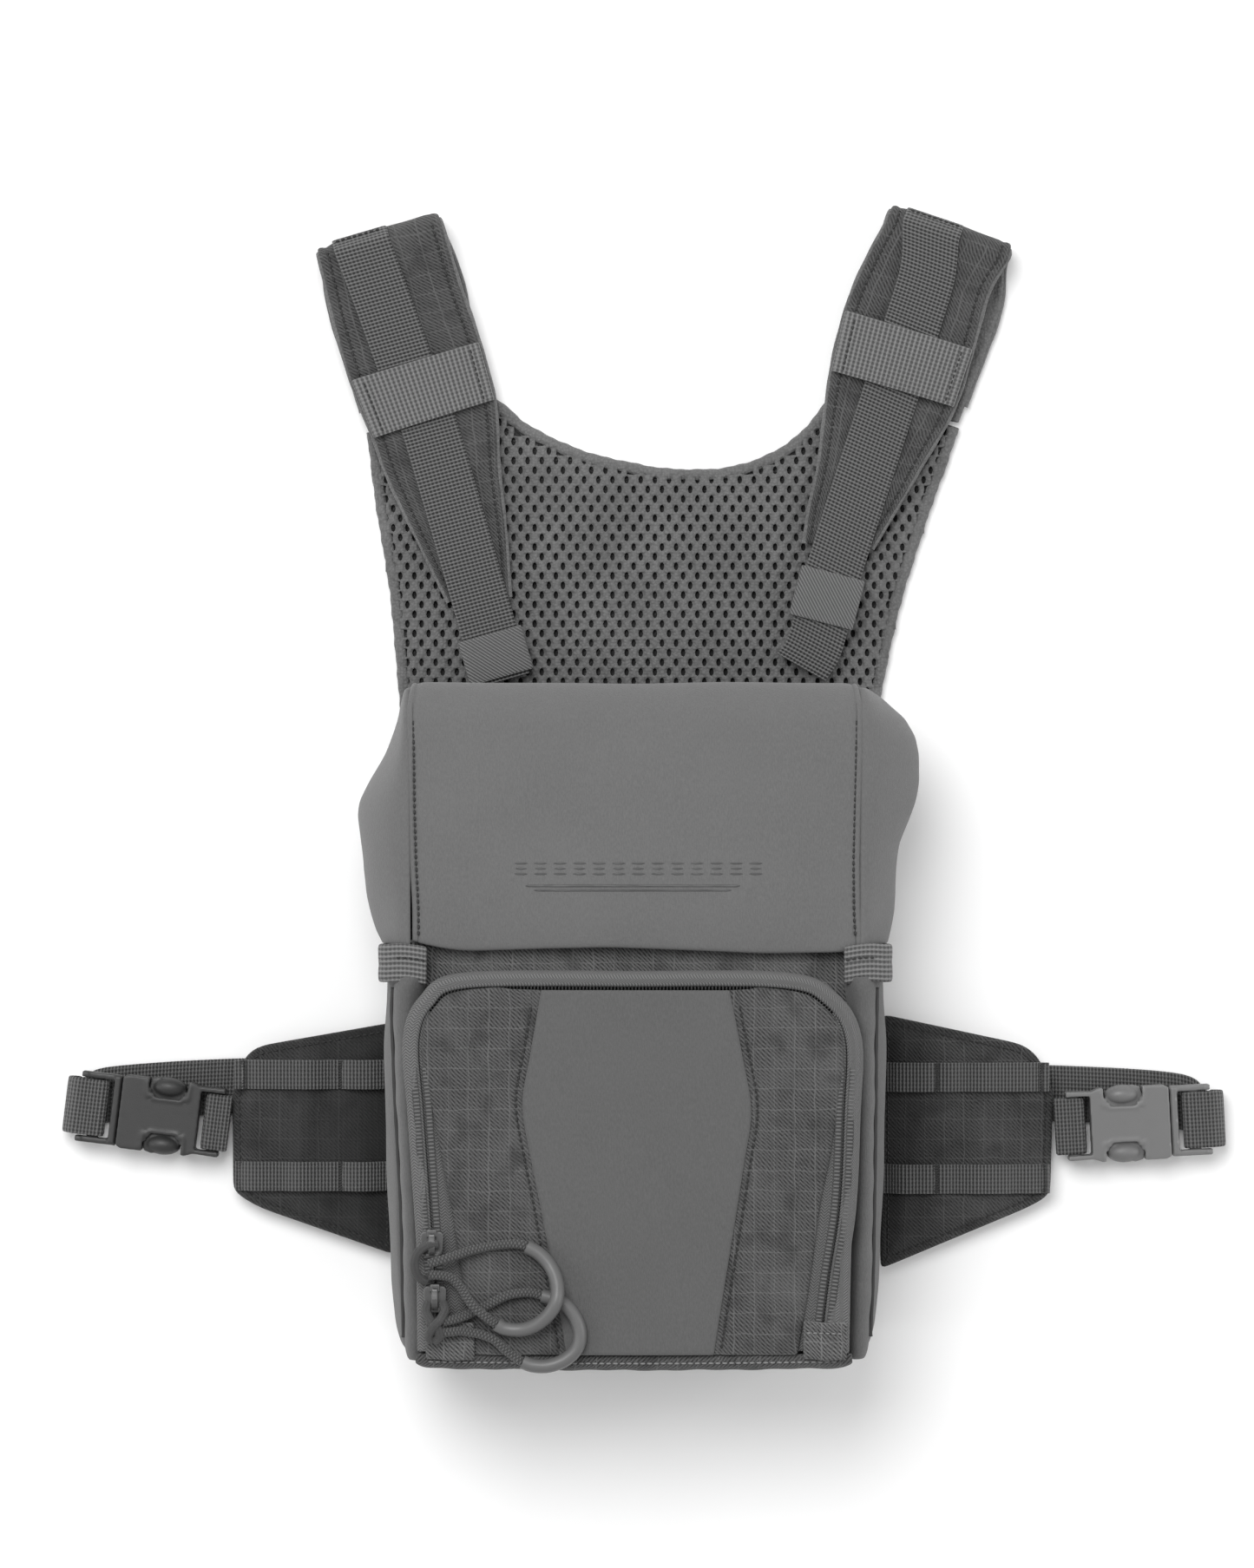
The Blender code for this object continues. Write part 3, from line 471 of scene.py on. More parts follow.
def strip(name, left, right, thick, mats, across, body, lift=None):
    """A strap between two edge lines. across gives (share of width, share of thickness)."""
    left, right = np.array(left, float), np.array(right, float)
    shares = np.array([a for a, _ in across])
    full = np.array([b for _, b in across])
    middle = left[:, None] * (1 - shares)[None, :, None] + right[:, None] * shares[None, :, None]
    run = np.gradient((left + right) / 2, axis=0)
    side = right - left
    normal = np.cross(side, run)
    normal /= np.linalg.norm(normal, axis=1)[:, None]
    if lift is not None:
        middle = middle + normal[:, None] * lift(middle)[..., None]
    half = normal[:, None] * (full * thick / 2)[None, :, None]
    width = float(np.linalg.norm(side, axis=1).mean())
    along = np.r_[0, np.cumsum(np.linalg.norm(np.diff((left + right) / 2, axis=0), axis=1))]
    uvs = np.stack(np.broadcast_arrays(shares * width, along[:, None]), axis=2)
    return closed_sheet(name, middle, half, uvs, mats, body)


def drop_on(obj):
    """A function that gives the height in millimetres of an object's top over a point."""
    tree = BVHTree.FromObject(obj, bpy.context.evaluated_depsgraph_get())

    def height(x, y):
        hit = tree.ray_cast(Vector((x, y, 300.0)) * MM, Vector((0, 0, -1)))[0]
        return hit.z / MM if hit else 11.0
    return height


UPWARDS = (0, 0, 1)


def thread_turn(points, faces, start, stop, radius, up=UPWARDS):
    """One short length of thread, thinner at its ends where it dips into the cloth."""
    way = stop - start
    way = way / np.linalg.norm(way)
    side = np.cross(way, up)
    side /= np.linalg.norm(side)
    rise = np.cross(side, way)
    base = len(points)
    for share, fat in ((-0.05, 0.25), (0.12, 0.85), (0.5, 1.0), (0.88, 0.85), (1.05, 0.25)):
        centre = start * (1 - share) + stop * share
        for k in range(6):
            turn = math.tau * k / 6
            points.append(centre + side * radius * fat * math.cos(turn)
                          + rise * radius * fat * math.sin(turn))
    faces += tube_faces(5, 6, base)
    faces.append(tuple(base + k for k in reversed(range(6))))
    faces.append(tuple(base + 24 + k for k in range(6)))


def stitch_line(name, route, pitch, mat, body, length=0.62, radius=0.33,
                up=UPWARDS):
    """Lock-stitches along a route: each a short raised thread, sunk to half its depth."""
    route = through(route, 0.5)
    run = np.r_[0, np.cumsum(np.linalg.norm(np.diff(route, axis=0), axis=1))]
    points, faces = [], []
    for middle in np.arange(pitch / 2, run[-1] - pitch / 2, pitch):
        start, stop = (np.array([np.interp(middle + s * pitch * length / 2, run, route[:, k])
                                 for k in range(3)]) for s in (-1, 1))
        thread_turn(points, faces, start, stop, radius, up)
    piece = mesh_piece(name, points, faces, [mat], body)
    return piece


def sewing_thread(name, hex_colour, dark_hex):
    """Bonded polyester thread: a twist that catches the light unevenly, and a dull shine."""
    mat, shader = finish_of(name, hex_colour, 0.6)
    at = add(mat, "TexCoord").outputs["Object"]
    twist = add(mat, "TexNoise", {"Scale": 2600.0, "Detail": 2.0}, {"Vector": at})
    colour = add(mat, "MixRGB", {1: tone(dark_hex), 2: tone(hex_colour)},
                 {0: twist.outputs["Fac"]})
    bump = add(mat, "Bump", {"Strength": 0.5, "Distance": 0.0001},
               {"Height": twist.outputs["Fac"]})
    feed(mat, {"Base Color": colour, "Normal": bump})
    return mat


thread = sewing_thread("polyester_thread", "#2a2a2a", "#1c1c1c")
thread_pale = sewing_thread("polyester_thread_pale", "#868686", "#6c6c6c")

RIP_GRID, TWILL = 7.3, 1.5      # ripstop squares, and its diagonal rows drawn coarse to show


def ripstop(name, hex_colour, line_hex, space, shade_hex, fade=None):
    """Coated ripstop nylon: a matt weave whose doubled yarns make a faint square grid,
    with dark gaps between its yarns, lighter patches that are partly wear and partly painted
    light on folds, dark clouds of painted fold shade and, where fade is given, painted shade
    towards the pouch."""
    mat, shader = finish_of(name, hex_colour, 0.8)
    place = in_mm(mat, space)
    fibre = add(mat, "TexNoise", {"Scale": 1.5, "Detail": 4.0, "Roughness": 0.75},
                {"Vector": place})
    drift = add(mat, "TexNoise", {"Scale": 0.12, "Detail": 1.0}, {"Vector": place})
    drift_mm = add(mat, "VectorMath", {3: 1.6}, {0: drift.outputs["Color"]}, operation="SCALE")
    drawn = add(mat, "VectorMath", links={0: place, 1: drift_mm})
    split = add(mat, "SeparateXYZ", links={0: drawn})
    lines = []
    for axis in (0, 1):
        near = add(mat, "Math", {1: RIP_GRID / 2}, {0: split.outputs[axis]}, operation="PINGPONG")
        lines.append(add(mat, "MapRange", {1: 0.1, 2: 0.34, 3: 1.0, 4: 0.0}, {0: near}).outputs[0])
    both = add(mat, "Math", links={0: lines[0], 1: lines[1]}, operation="MAXIMUM")
    grid = add(mat, "Math", {1: 0.4}, {0: both}, operation="MULTIPLY")
    slope = add(mat, "Math", links={0: split.outputs[0], 1: split.outputs[1]})
    twill = wave_of(mat, slope, TWILL)
    yarns = wave_of(mat, split.outputs[0], TWILL * 1.3)
    picks = add(mat, "Math", {1: 0.35, 2: 0.65}, {0: yarns}, operation="MULTIPLY_ADD")
    dashes = add(mat, "Math", links={0: twill, 1: picks}, operation="MULTIPLY")
    height = add(mat, "Math", {1: 0.55}, {0: dashes, 2: grid}, operation="MULTIPLY_ADD")
    rough = add(mat, "Math", {1: 1.3}, {0: fibre.outputs["Fac"], 2: height},
                operation="MULTIPLY_ADD")
    broken = add(mat, "MapRange", {1: 0.35, 2: 0.65, 3: 0.1, 4: 1.0}, {0: fibre.outputs["Fac"]})
    faint = add(mat, "Math", links={0: grid, 1: broken}, operation="MULTIPLY")
    base = add(mat, "MixRGB", {1: tone(hex_colour), 2: tone(line_hex)}, {0: faint})
    gap = add(mat, "MapRange", {1: 1.05, 2: 0.2, 3: 0.0, 4: 0.95}, {0: rough})
    dark = add(mat, "MixRGB", {2: tone(shade_hex)}, {0: gap, 1: base})
    # Lighter patches: partly wear, partly painted light on the cloth's folds.
    worn = add(mat, "TexNoise", {"Scale": 0.04, "Detail": 3.0}, {"Vector": place})
    patch = add(mat, "MapRange", {1: 0.45, 2: 0.8, 3: 0.0, 4: 0.35}, {0: worn.outputs["Fac"]})
    wear_and_fold_lit = add(mat, "MixRGB", {2: tone(line_hex)}, {0: patch, 1: dark})
    # Painted shade: dark noise clouds stand in for the shade in the cloth's folds.
    fold_shade_noise = add(mat, "TexNoise", {"Scale": 0.1, "Detail": 1.5}, {"Vector": place})
    crease = add(mat, "MapRange", {1: 0.52, 2: 0.75, 3: 0.0, 4: 0.5}, {0: fold_shade_noise.outputs["Fac"]})
    tint = add(mat, "MixRGB", {2: tone(shade_hex)}, {0: crease, 1: wear_and_fold_lit})
    if fade:                    # painted shade: darker next to the pouch, where it shades the wing
        out = add(mat, "Math", links={0: split.outputs[0]}, operation="ABSOLUTE")
        pouch_shade_share = add(mat, "MapRange", {1: fade[0], 2: fade[1], 3: 0.8, 4: 0.0}, {0: out})
        tint = add(mat, "MixRGB", {2: tone(shade_hex)}, {0: pouch_shade_share, 1: tint})
    bump = add(mat, "Bump", {"Strength": 0.8, "Distance": 0.0004}, {"Height": rough})
    feed(mat, {"Base Color": tint, "Normal": bump})
    shader.inputs["Sheen Weight"].default_value = 0.08
    shader.inputs["Sheen Roughness"].default_value = 0.5
    return mat


strap_cloth = ripstop("ripstop_strap", "#535353", "#606060", "UV", "#161616")

STRAP_T, STRAP_BACK_Z, STRAP_FRONT_Z, FOLD_R = 4.6, 2.6, 8.0, 6.0
STRAPS = {
    "left": {
        "front": [((-69, 156), (-46.5, 158), 0), ((-80, 178), (-48, 182), 0),
                  ((-92, 203), (-50.5, 205), 0), ((-97, 217), (-52, 230), 0),
                  ((-106, 240), (-58, 254), 1.5), ((-112, 261.5), (-65, 274), 3.5)],
        "fold": ((-118.3, 287.6), (-72.9, 300.9)),
        "back": [((-113, 262), (-64, 275)), ((-99.5, 220.5), (-56, 234.3))],
    },
    "right": {
        "front": [((64, 178), (89, 176), 0), ((66, 192), (99, 192.5), 0),
                  ((69.5, 208), (108, 208), 0), ((73.7, 241), (119.5, 228), 0),
                  ((79.6, 266), (127, 252), 2.5), ((86.7, 283), (132.5, 272), 5)],
        "fold": ((96.4, 303.9), (141.2, 288.9)),
        "back": [((91, 275), (137, 264)), ((77, 233.3), (121.8, 223.4))],
    },
}


def fold_station(strap, angle, radius):
    """The strap's two edges on its fold, at an angle in degrees from the fold's top."""
    left, right = (np.array(p) for p in strap["fold"])
    run = (right - left) / np.linalg.norm(right - left)
    outward = np.array([-run[1], run[0]])
    reach = radius * math.sin(math.radians(angle)) - FOLD_R - STRAP_T / 2 + 1.6
    z = STRAP_BACK_Z + FOLD_R + radius * math.cos(math.radians(angle))
    return [np.r_[p + outward * reach, z] for p in (left, right)]


def wrinkle(middle):
    """Slack in the face cloth: slow ripples that fade towards the edges."""
    x, y = middle[..., 0], middle[..., 1]
    wide = np.linspace(-1, 1, middle.shape[1])[None, :]
    pucker = 0.22 * np.sin(y / 1.15 + x / 2.0) * (np.abs(wide) > 0.45) * (np.abs(wide) < 0.9)
    return (0.5 * (1 - wide ** 2) * (np.sin(y / 5.2 + x / 3.1) + 0.8 * np.sin(y / 2.9 - x / 6.0))
            + pucker)


STRAP_ACROSS = [(0.0, 0.35), (0.015, 0.72), (0.05, 0.78), (0.07, 0.52), (0.1, 0.84), (0.22, 1.0),
                (0.36, 1.0), (0.5, 1.0), (0.64, 1.0), (0.78, 1.0), (0.9, 0.84), (0.93, 0.52),
                (0.95, 0.78), (0.985, 0.72), (1.0, 0.35)]
for side in ("left", "right"):
    strap = STRAPS[side]
    edges = [[], []]
    for left, right, rise in strap["front"]:
        for edge, point in zip(edges, (left, right)):
            edge.append((*point, STRAP_FRONT_Z + rise))
    for angle in range(0, 181, 30):
        for edge, point in zip(edges, fold_station(strap, angle, FOLD_R)):
            edge.append(tuple(point))
    for left, right in strap["back"]:
        for edge, point in zip(edges, (left, right)):
            edge.append((*point, STRAP_BACK_Z))
    steps = 150
    lines = [picked(through(edge, 0.6), steps) for edge in edges]
    piece = strip(f"shoulder_strap_cloth_{side}", lines[0], lines[1], STRAP_T,
                  [strap_cloth, spacer], STRAP_ACROSS, "harness", lift=wrinkle)
    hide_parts(f"shoulder_strap_{side}")
    front = slice(2, int(steps * 0.66))
    top = drop_on(piece)
    for label, share in (("inner", 0.072), ("outer", 0.928)):
        seam = lines[0][front] * (1 - share) + lines[1][front] * share
        seam = [(x, y, top(x, y) + 0.12) for x, y, _ in seam]
        stitch_line(f"strap_stitch_{side}_{label}", seam, 2.6, thread,
                    "harness", 0.66, 0.45)
    for label, line, share in (("a", lines[0], 0.0), ("b", lines[1], 1.0)):
        under = line[:int(steps * 0.98):3].copy()
        rolled_edge(f"strap_binding_{side}_{label}", under, 1.15, 1.0, spacer, "harness",
                    0.16, sides=6)

# ------------------------------------------------------------------ strap webbing
# 20 mm woven nylon webbing lies loose on each strap. Its top end is turned over and
# sewn at the fold, and its lower end runs to the pack's upper corners.

RIB, WARP = 1.35, 1.5           # a weft rib and a warp yarn, drawn a little coarse to show


def webbing(name, hex_colour, dark_hex, rib=RIB, diagonal=False, check=0.0):
    """Woven nylon webbing: matt ribs across the tape, with a slight shine on each."""
    mat, shader = finish_of(name, hex_colour, 0.68)
    place = in_mm(mat, "UV")
    split = add(mat, "SeparateXYZ", links={0: place})
    along = split.outputs[1]
    if diagonal:
        along = add(mat, "Math", {1: 0.9}, {0: split.outputs[0], 2: split.outputs[1]},
                    operation="MULTIPLY_ADD").outputs[0]
    wave = wave_of(mat, along, rib)
    warp = wave_of(mat, split.outputs[0], WARP)
    weave = add(mat, "Math", {1: check}, {0: warp, 2: wave}, operation="MULTIPLY_ADD")
    fuzz = add(mat, "TexNoise", {"Scale": 2.2, "Detail": 3.0}, {"Vector": place})
    height = add(mat, "Math", {1: 0.5}, {0: fuzz.outputs["Fac"], 2: weave},
                 operation="MULTIPLY_ADD")
    share = add(mat, "MapRange", {1: -0.7, 2: 0.9, 3: 1.0, 4: 0.0}, {0: height})
    colour = add(mat, "MixRGB", {1: tone(hex_colour), 2: tone(dark_hex)}, {0: share})
    bump = add(mat, "Bump", {"Strength": 0.8, "Distance": 0.0004}, {"Height": height})
    feed(mat, {"Base Color": colour, "Normal": bump})
    shader.inputs["Sheen Weight"].default_value = 0.1
    return mat


strap_webbing = webbing("nylon_webbing_strap", "#6e6e6e", "#1d1d1d", check=0.6)
WEB_T, WEB_W = 1.4, 21.0
WEB_OVER = STRAP_T / 2 + 0.3 + WEB_T / 2
WEBS = {
    "left": [(-48.8, 126.5, 0), (-53.5, 143, 0), (-75.9, 220, 0), (-85.2, 244.5, 1.5),
             (-92.5, 265, 3.8)],
    "right": [(62.5, 131.5, 0), (67.9, 141, 0), (75.2, 169, 0), (95.7, 233, 0),
              (103.8, 259, 3.0), (109.5, 278.5, 5.7)],
}
WEB_FOLD_SHARE = {"left": (0.13, 0.58), "right": (0.12, 0.59)}
WEB_ACROSS = [(0.0, 0.45), (0.03, 0.95), (0.12, 1.0), (0.3, 1.0), (0.5, 1.0), (0.7, 1.0),
              (0.88, 1.0), (0.97, 0.95), (1.0, 0.45)]
for side in ("left", "right"):
    stations = np.array(WEBS[side], float)
    runs = np.gradient(stations, axis=0)
    edges = [[], []]
    for here, run in zip(stations, runs):
        across = np.array([run[1], -run[0]]) / math.hypot(run[0], run[1]) * WEB_W / 2
        z = STRAP_FRONT_Z + WEB_OVER + here[2]
        edges[0].append((*(here[:2] - across), z))
        edges[1].append((*(here[:2] + across), z))
    for angle in (8, 22, 36, 50, 58):
        ends = fold_station(STRAPS[side], angle, FOLD_R + WEB_OVER)
        for edge, share in zip(edges, WEB_FOLD_SHARE[side]):
            edge.append(tuple(ends[0] * (1 - share) + ends[1] * share))
    lines = [picked(through(edge, 0.6), 110) for edge in edges]
    piece = strip(f"strap_webbing_{side}", lines[0], lines[1], WEB_T, [strap_webbing],
                  WEB_ACROSS, "harness")
    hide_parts(f"strap_web_{side}")
    tuck = fold_station(STRAPS[side], 44, FOLD_R + WEB_OVER + 1.0)
    low, high = (tuck[0] * (1 - s) + tuck[1] * s for s in WEB_FOLD_SHARE[side])
    stitch_line(f"strap_web_tack_{side}", [low * 0.95 + high * 0.05, (low + high) / 2,
                                           low * 0.05 + high * 0.95], 2.2, thread,
                "harness", radius=0.42, up=(0, 0.4, 1))

# ------------------------------------------------------------------ elastic bands
# Knitted elastic, 23 mm wide, ribbed along its length. It crosses strap and webbing
# and is sewn down at both edges of the strap with one row of stitches.
elastic_cloth = webbing("knitted_elastic", "#7c7c7c", "#464646", rib=1.75, check=0.5)
BANDS = {
    "left": ((-104.5, 239), (-59, 252.8), (-53, 231.2), (-96, 217.5), 0.9),
    "right": ((80, 264.5), (125.5, 250.5), (118.5, 229), (74.8, 242), 1.6),
}
# Along the band: how high it stands, as a share of its height over the webbing.
BAND_LIFT = [(-0.012, -2.0), (0.0, -0.6), (0.05, 0.2), (0.15, 0.6), (0.25, 1), (0.5, 1.1),
             (0.75, 1), (0.85, 0.6), (0.95, 0.2), (1.0, -0.6), (1.012, -2.0)]
BAND_OVER = WEB_OVER + WEB_T / 2 + 0.3 + 0.7
for side in ("left", "right"):
    top_l, top_r, low_r, low_l, tilt = BANDS[side]
    edges = [[], []]
    for share, over in BAND_LIFT:
        base = STRAP_FRONT_Z + tilt + STRAP_T / 2 + 1.4 + (BAND_OVER - STRAP_T / 2 - 1.6) * over
        low = np.array(low_l) * (1 - share) + np.array(low_r) * share
        top = np.array(top_l) * (1 - share) + np.array(top_r) * share
        edges[0].append((*low, base))
        edges[1].append((*top, base + tilt))
    steps = 70
    lines = [picked(through(edge, 0.5), steps) for edge in edges]
    piece = strip(f"elastic_band_{side}", lines[1], lines[0], 1.3, [elastic_cloth],
                  [(0.0, 0.5), (0.02, 1.0), (0.1, 1.0), (0.3, 1.0), (0.5, 1.0), (0.7, 1.0),
                   (0.9, 1.0), (0.98, 1.0), (1.0, 0.5)], "harness")
    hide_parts(f"strap_band_{side}")
    for label, at in (("a", int(steps * 0.1)), ("b", int(steps * 0.9))):
        low, high = lines[0][at], lines[1][at]
        row = [low * (1 - s) + high * s + np.array([0, 0, 0.75]) for s in (0.04, 0.35, 0.65, 0.96)]
        stitch_line(f"band_stitch_{side}_{label}", row, 2.2, thread, "harness")

# ------------------------------------------------------------------ webbing keepers
# A short loop of twill-woven elastic round the webbing holds its loose tail down, and
# slides along it.
twill_keeper = webbing("twill_elastic_keeper", "#797979", "#505050", rib=1.4, diagonal=True)
KEEPERS = {"left": ((-51.5, 136.0), -74.1, 17.0), "right": ((72.2, 157.6), -104.6, 19.0)}
for side in ("left", "right"):
    (x, y), heading, reach = KEEPERS[side]
    c, s = math.cos(math.radians(heading)), math.sin(math.radians(heading))
    z = STRAP_FRONT_Z + WEB_OVER
    ring = []
    for k in range(40):
        turn = math.tau * k / 40
        v = 11.9 * np.sign(math.cos(turn)) * abs(math.cos(turn)) ** 0.22
        h = 1.85 * np.sign(math.sin(turn)) * abs(math.sin(turn)) ** 0.55
        ring.append((v, h))
    ring = np.array(ring + ring[:1])
    edges = []
    for u in (-reach / 2, reach / 2):
        edges.append(np.stack([x + c * u - s * ring[:, 0], y + s * u + c * ring[:, 0],
                               z + ring[:, 1]], axis=1))
    piece = strip(f"twill_keeper_{side}", edges[0], edges[1], 0.8, [twill_keeper],
                  [(0.0, 0.6), (0.02, 1.0), (0.25, 1.0), (0.5, 1.0), (0.75, 1.0), (0.98, 1.0),
                   (1.0, 0.6)], f"keeper_{side}")
    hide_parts(f"web_keeper_{side}")

# ------------------------------------------------------------------ pouch and padded back
# Box-shaped pouch of coated ripstop. A frame sheet and foam fill its back, which is
# faced with spacer mesh; the corners of the front are softshell folded into a roll.


def shell(name, middle, thick, mats, body, uvs=None):
    """A closed sheet about a grid of middle points, (rows, columns, xyz); thick is per
    point. The columns run to the right of the rows as seen from the outer face."""
    middle = np.array(middle, float)
    thick = np.broadcast_to(np.array(thick, float), middle.shape[:2])
    down = np.gradient(middle, axis=0)
    across = np.gradient(middle, axis=1)
    normal = np.cross(across, down)
    normal /= np.maximum(np.linalg.norm(normal, axis=2)[..., None], 1e-6)
    half = normal * thick[..., None] / 2
    if uvs is None:
        u, v = np.zeros(middle.shape[:2]), np.zeros(middle.shape[:2])
        u[:, 1:] = np.cumsum(np.linalg.norm(np.diff(middle, axis=1), axis=2), axis=1)
        v[1:] = np.cumsum(np.linalg.norm(np.diff(middle, axis=0), axis=2), axis=0)
        uvs = np.stack([u, v], axis=2)
    return closed_sheet(name, middle, half, uvs, mats, body)


def softshell(name, hex_colour, light_hex):
    """Stretch softshell: a fine matt knit with a lighter heather fleck and a soft bloom."""
    mat, shader = finish_of(name, hex_colour, 0.88)
    source = add(mat, "TexCoord").outputs["Object"]
    fleck = add(mat, "TexNoise", {"Scale": 1500.0, "Detail": 2.0, "Roughness": 0.6},
                {"Vector": source})
    thin = add(mat, "Mapping", {"Scale": (2600.0, 700.0, 2600.0)}, {"Vector": source})
    knit = add(mat, "TexNoise", {"Scale": 1.0, "Detail": 2.0}, {"Vector": thin})
    cloud = add(mat, "TexNoise", {"Scale": 22.0, "Detail": 3.0}, {"Vector": source})
    share = add(mat, "MapRange", {1: 0.35, 2: 0.75, 3: 0.0, 4: 0.55}, {0: knit.outputs["Fac"]})
    base = add(mat, "MixRGB", {1: tone(hex_colour), 2: tone(light_hex)}, {0: share})
    wear = add(mat, "MapRange", {1: 0.35, 2: 0.75, 3: 0.0, 4: 0.22}, {0: cloud.outputs["Fac"]})
    worn = add(mat, "MixRGB", {2: tone(light_hex)}, {0: wear, 1: base})
    rise = add(mat, "Math", links={0: fleck.outputs["Fac"], 1: knit.outputs["Fac"]})
    bump = add(mat, "Bump", {"Strength": 0.6, "Distance": 0.0003}, {"Height": rise})
    feed(mat, {"Base Color": worn, "Normal": bump})
    shader.inputs["Sheen Weight"].default_value = 0.14
    shader.inputs["Sheen Roughness"].default_value = 0.6
    return mat


pouch_cloth = ripstop("ripstop_pouch", "#6d6d6d", "#747474", "UV", "#1b1b1b")
trim_cloth = softshell("softshell_trim", "#4f4f4f", "#606060")
FRONT_T, WALL_T, TRIM_T = 1.4, 1.6, 1.5


def closed_line(outline, step, radii):
    """A closed outline with rounded corners, as points at an even step."""
    corners = np.array(outline, float)
    line = []
    for i, here in enumerate(corners):
        before, after = corners[i - 1], corners[(i + 1) % len(corners)]
        start = here + (before - here) / np.linalg.norm(before - here) * radii[i]
        stop = here + (after - here) / np.linalg.norm(after - here) * radii[i]
        for t in np.linspace(0, 1, 7):
            line.append(start * (1 - t) ** 2 + 2 * here * t * (1 - t) + stop * t ** 2)
    line = np.array([*line, line[0]])
    run = np.r_[0, np.cumsum(np.linalg.norm(np.diff(line, axis=0), axis=1))]
    even_run = np.linspace(0, run[-1], int(run[-1] / step) + 1)[:-1]
    return np.stack([np.interp(even_run, run, line[:, k]) for k in range(2)], axis=1)


def inset_line(line, distance):
    """A closed line moved inwards."""
    run = np.roll(line, -1, axis=0) - np.roll(line, 1, axis=0)
    run /= np.linalg.norm(run, axis=1)[:, None]
    normal = np.stack([run[:, 1], -run[:, 0]], axis=1)
    area = np.sum(line[:, 0] * np.roll(line[:, 1], -1) - line[:, 1] * np.roll(line[:, 0], -1))
    return line - normal * distance * np.sign(area)


SEAM_IN = 3.1                   # from a panel's edge to its row of stitches


def padded_panel(name, node, outline, radii, z_low, z_high, mat, body, pressure, step, limit):
    """Foam between two cloths, stitched round the edge: a flat panel that a cloth
    simulation blows up between its seams, no point by more than the limit."""
    middle = (z_low + z_high) / 2
    rim = closed_line(outline, step * 0.8, radii)
    edge, stitched = inset_line(rim, 0.9), inset_line(rim, SEAM_IN)
    count = len(rim)
    low, high = rim.min(axis=0), rim.max(axis=0)
    field = []
    inner = inset_line(rim, SEAM_IN + step * 0.7)
    for i, y in enumerate(np.arange(low[1], high[1], step * 0.87)):
        for x in np.arange(low[0] + (i % 2) * step / 2, high[0], step):
            if inside(inner, x, y):
                field.append((x, y))
    plan = [Vector(p) for p in [*edge, *stitched, *field]]
    loops = [(k + base, (k + 1) % count + base) for base in (0, count) for k in range(count)]
    flat, _, tris, _, _, _ = delaunay_2d_cdt(plan, loops, [], 1, 1e-4)
    top, bottom, rest = [], [], []
    for p in flat:
        here = np.array(p)
        off_edge = np.min(np.linalg.norm(edge - here, axis=1))
        off_seam = np.min(np.linalg.norm(stitched - here, axis=1))
        if off_edge < 0.01:
            half = 1.5
        elif off_seam < 0.01:
            half = 1.0
        else:
            half = (z_high - z_low) / 2 * min(1.0, 0.55 + off_seam / 14)
            rest.append(len(top))
        depth = max(0.0, off_seam - 0.5)
        wave = 0.35 * (math.sin(p[0] / 5.5 + p[1] / 19) + math.sin(p[0] / 9 - p[1] / 7)
                       + math.sin(p[1] / 4.3 + p[0] / 21)) * min(1.0, depth / 6)
        top.append((p[0], p[1], middle + half + (wave if off_edge > 0.01 else 0)))
        bottom.append((p[0], p[1], middle - half))
    total = len(flat)
    points = top + bottom + [(x, y, middle) for x, y in rim]
    faces = [tuple(t) for t in tris] + [tuple(i + total for i in reversed(t)) for t in tris]
    near = [int(np.argmin([math.dist(p, q) for q in flat])) for p in edge]
    for k in range(count):
        n = (k + 1) % count
        rim_k, rim_n = 2 * total + k, 2 * total + n
        faces.append((near[k], rim_k, rim_n, near[n]))
        faces.append((near[n] + total, rim_n, rim_k, near[k] + total))
    obj = mesh_piece(name, points, faces, [mat], body)
    mesh = obj.data
    bm = bmesh.new()
    bm.from_mesh(mesh)
    bmesh.ops.recalc_face_normals(bm, faces=bm.faces)
    bm.to_mesh(mesh)
    bm.free()
    start = np.array(points)
    held = obj.vertex_groups.new(name="sewn")
    free = set(rest) | {i + total for i in rest}
    held.add([i for i in range(len(points)) if i not in free], 1.0, "REPLACE")
    cloth = obj.modifiers.new("cloth", "CLOTH")
    cloth.settings.use_pressure = True
    cloth.settings.uniform_pressure_force = pressure
    cloth.settings.effector_weights.gravity = 0
    cloth.settings.vertex_group_mass = held.name
    cloth.settings.quality = 5
    cloth.settings.tension_stiffness = cloth.settings.compression_stiffness = 15
    cloth.settings.bending_stiffness = 0.5
    bpy.context.view_layer.objects.active = obj
    for frame_number in range(1, 16):
        bpy.context.scene.frame_set(frame_number)
    bpy.ops.object.modifier_apply(modifier=cloth.name)
    bpy.context.scene.frame_set(1)
    moved = np.zeros(len(points) * 3)
    mesh.vertices.foreach_get("co", moved)
    shift = moved.reshape(-1, 3) / MM - start
    size = np.linalg.norm(shift, axis=1)[:, None]
    shift *= np.minimum(1.0, limit / np.maximum(size, 1e-9))
    mesh.vertices.foreach_set("co", ((start + shift) * MM).ravel())
    skin = obj.modifiers.new("skin", "SUBSURF")
    skin.levels = skin.render_levels = 1
    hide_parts(node)
    return obj, stitched


BACK_OUTLINE = [(-87, -118), (88, -118), (88, 121), (-87, 121)]
back_pad, _ = padded_panel("back_pad", "back_panel", BACK_OUTLINE, [12] * 4, 6.0, 13.5, spacer,
                           "harness", pressure=3.0, step=5.0, limit=2.5)

# The pouch's front wall shows as a strip of ripstop between the lid and the zip.
across = np.linspace(-79.5, 80.5, 48)
up = np.linspace(-114.6, 112, 60)
x, y = np.meshgrid(across, up)
wave = 0.35 * np.sin(x / 13 + y / 5.0) + 0.25 * np.sin(x / 5.3 - y / 9.0)
z = 80.3 + wave * np.clip((y - 8) / 8, 0, 1)
piece = shell("pouch_front_cloth", np.stack([x, y, z], axis=2), FRONT_T, [pouch_cloth], "harness")
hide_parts("pouch_front_wall")

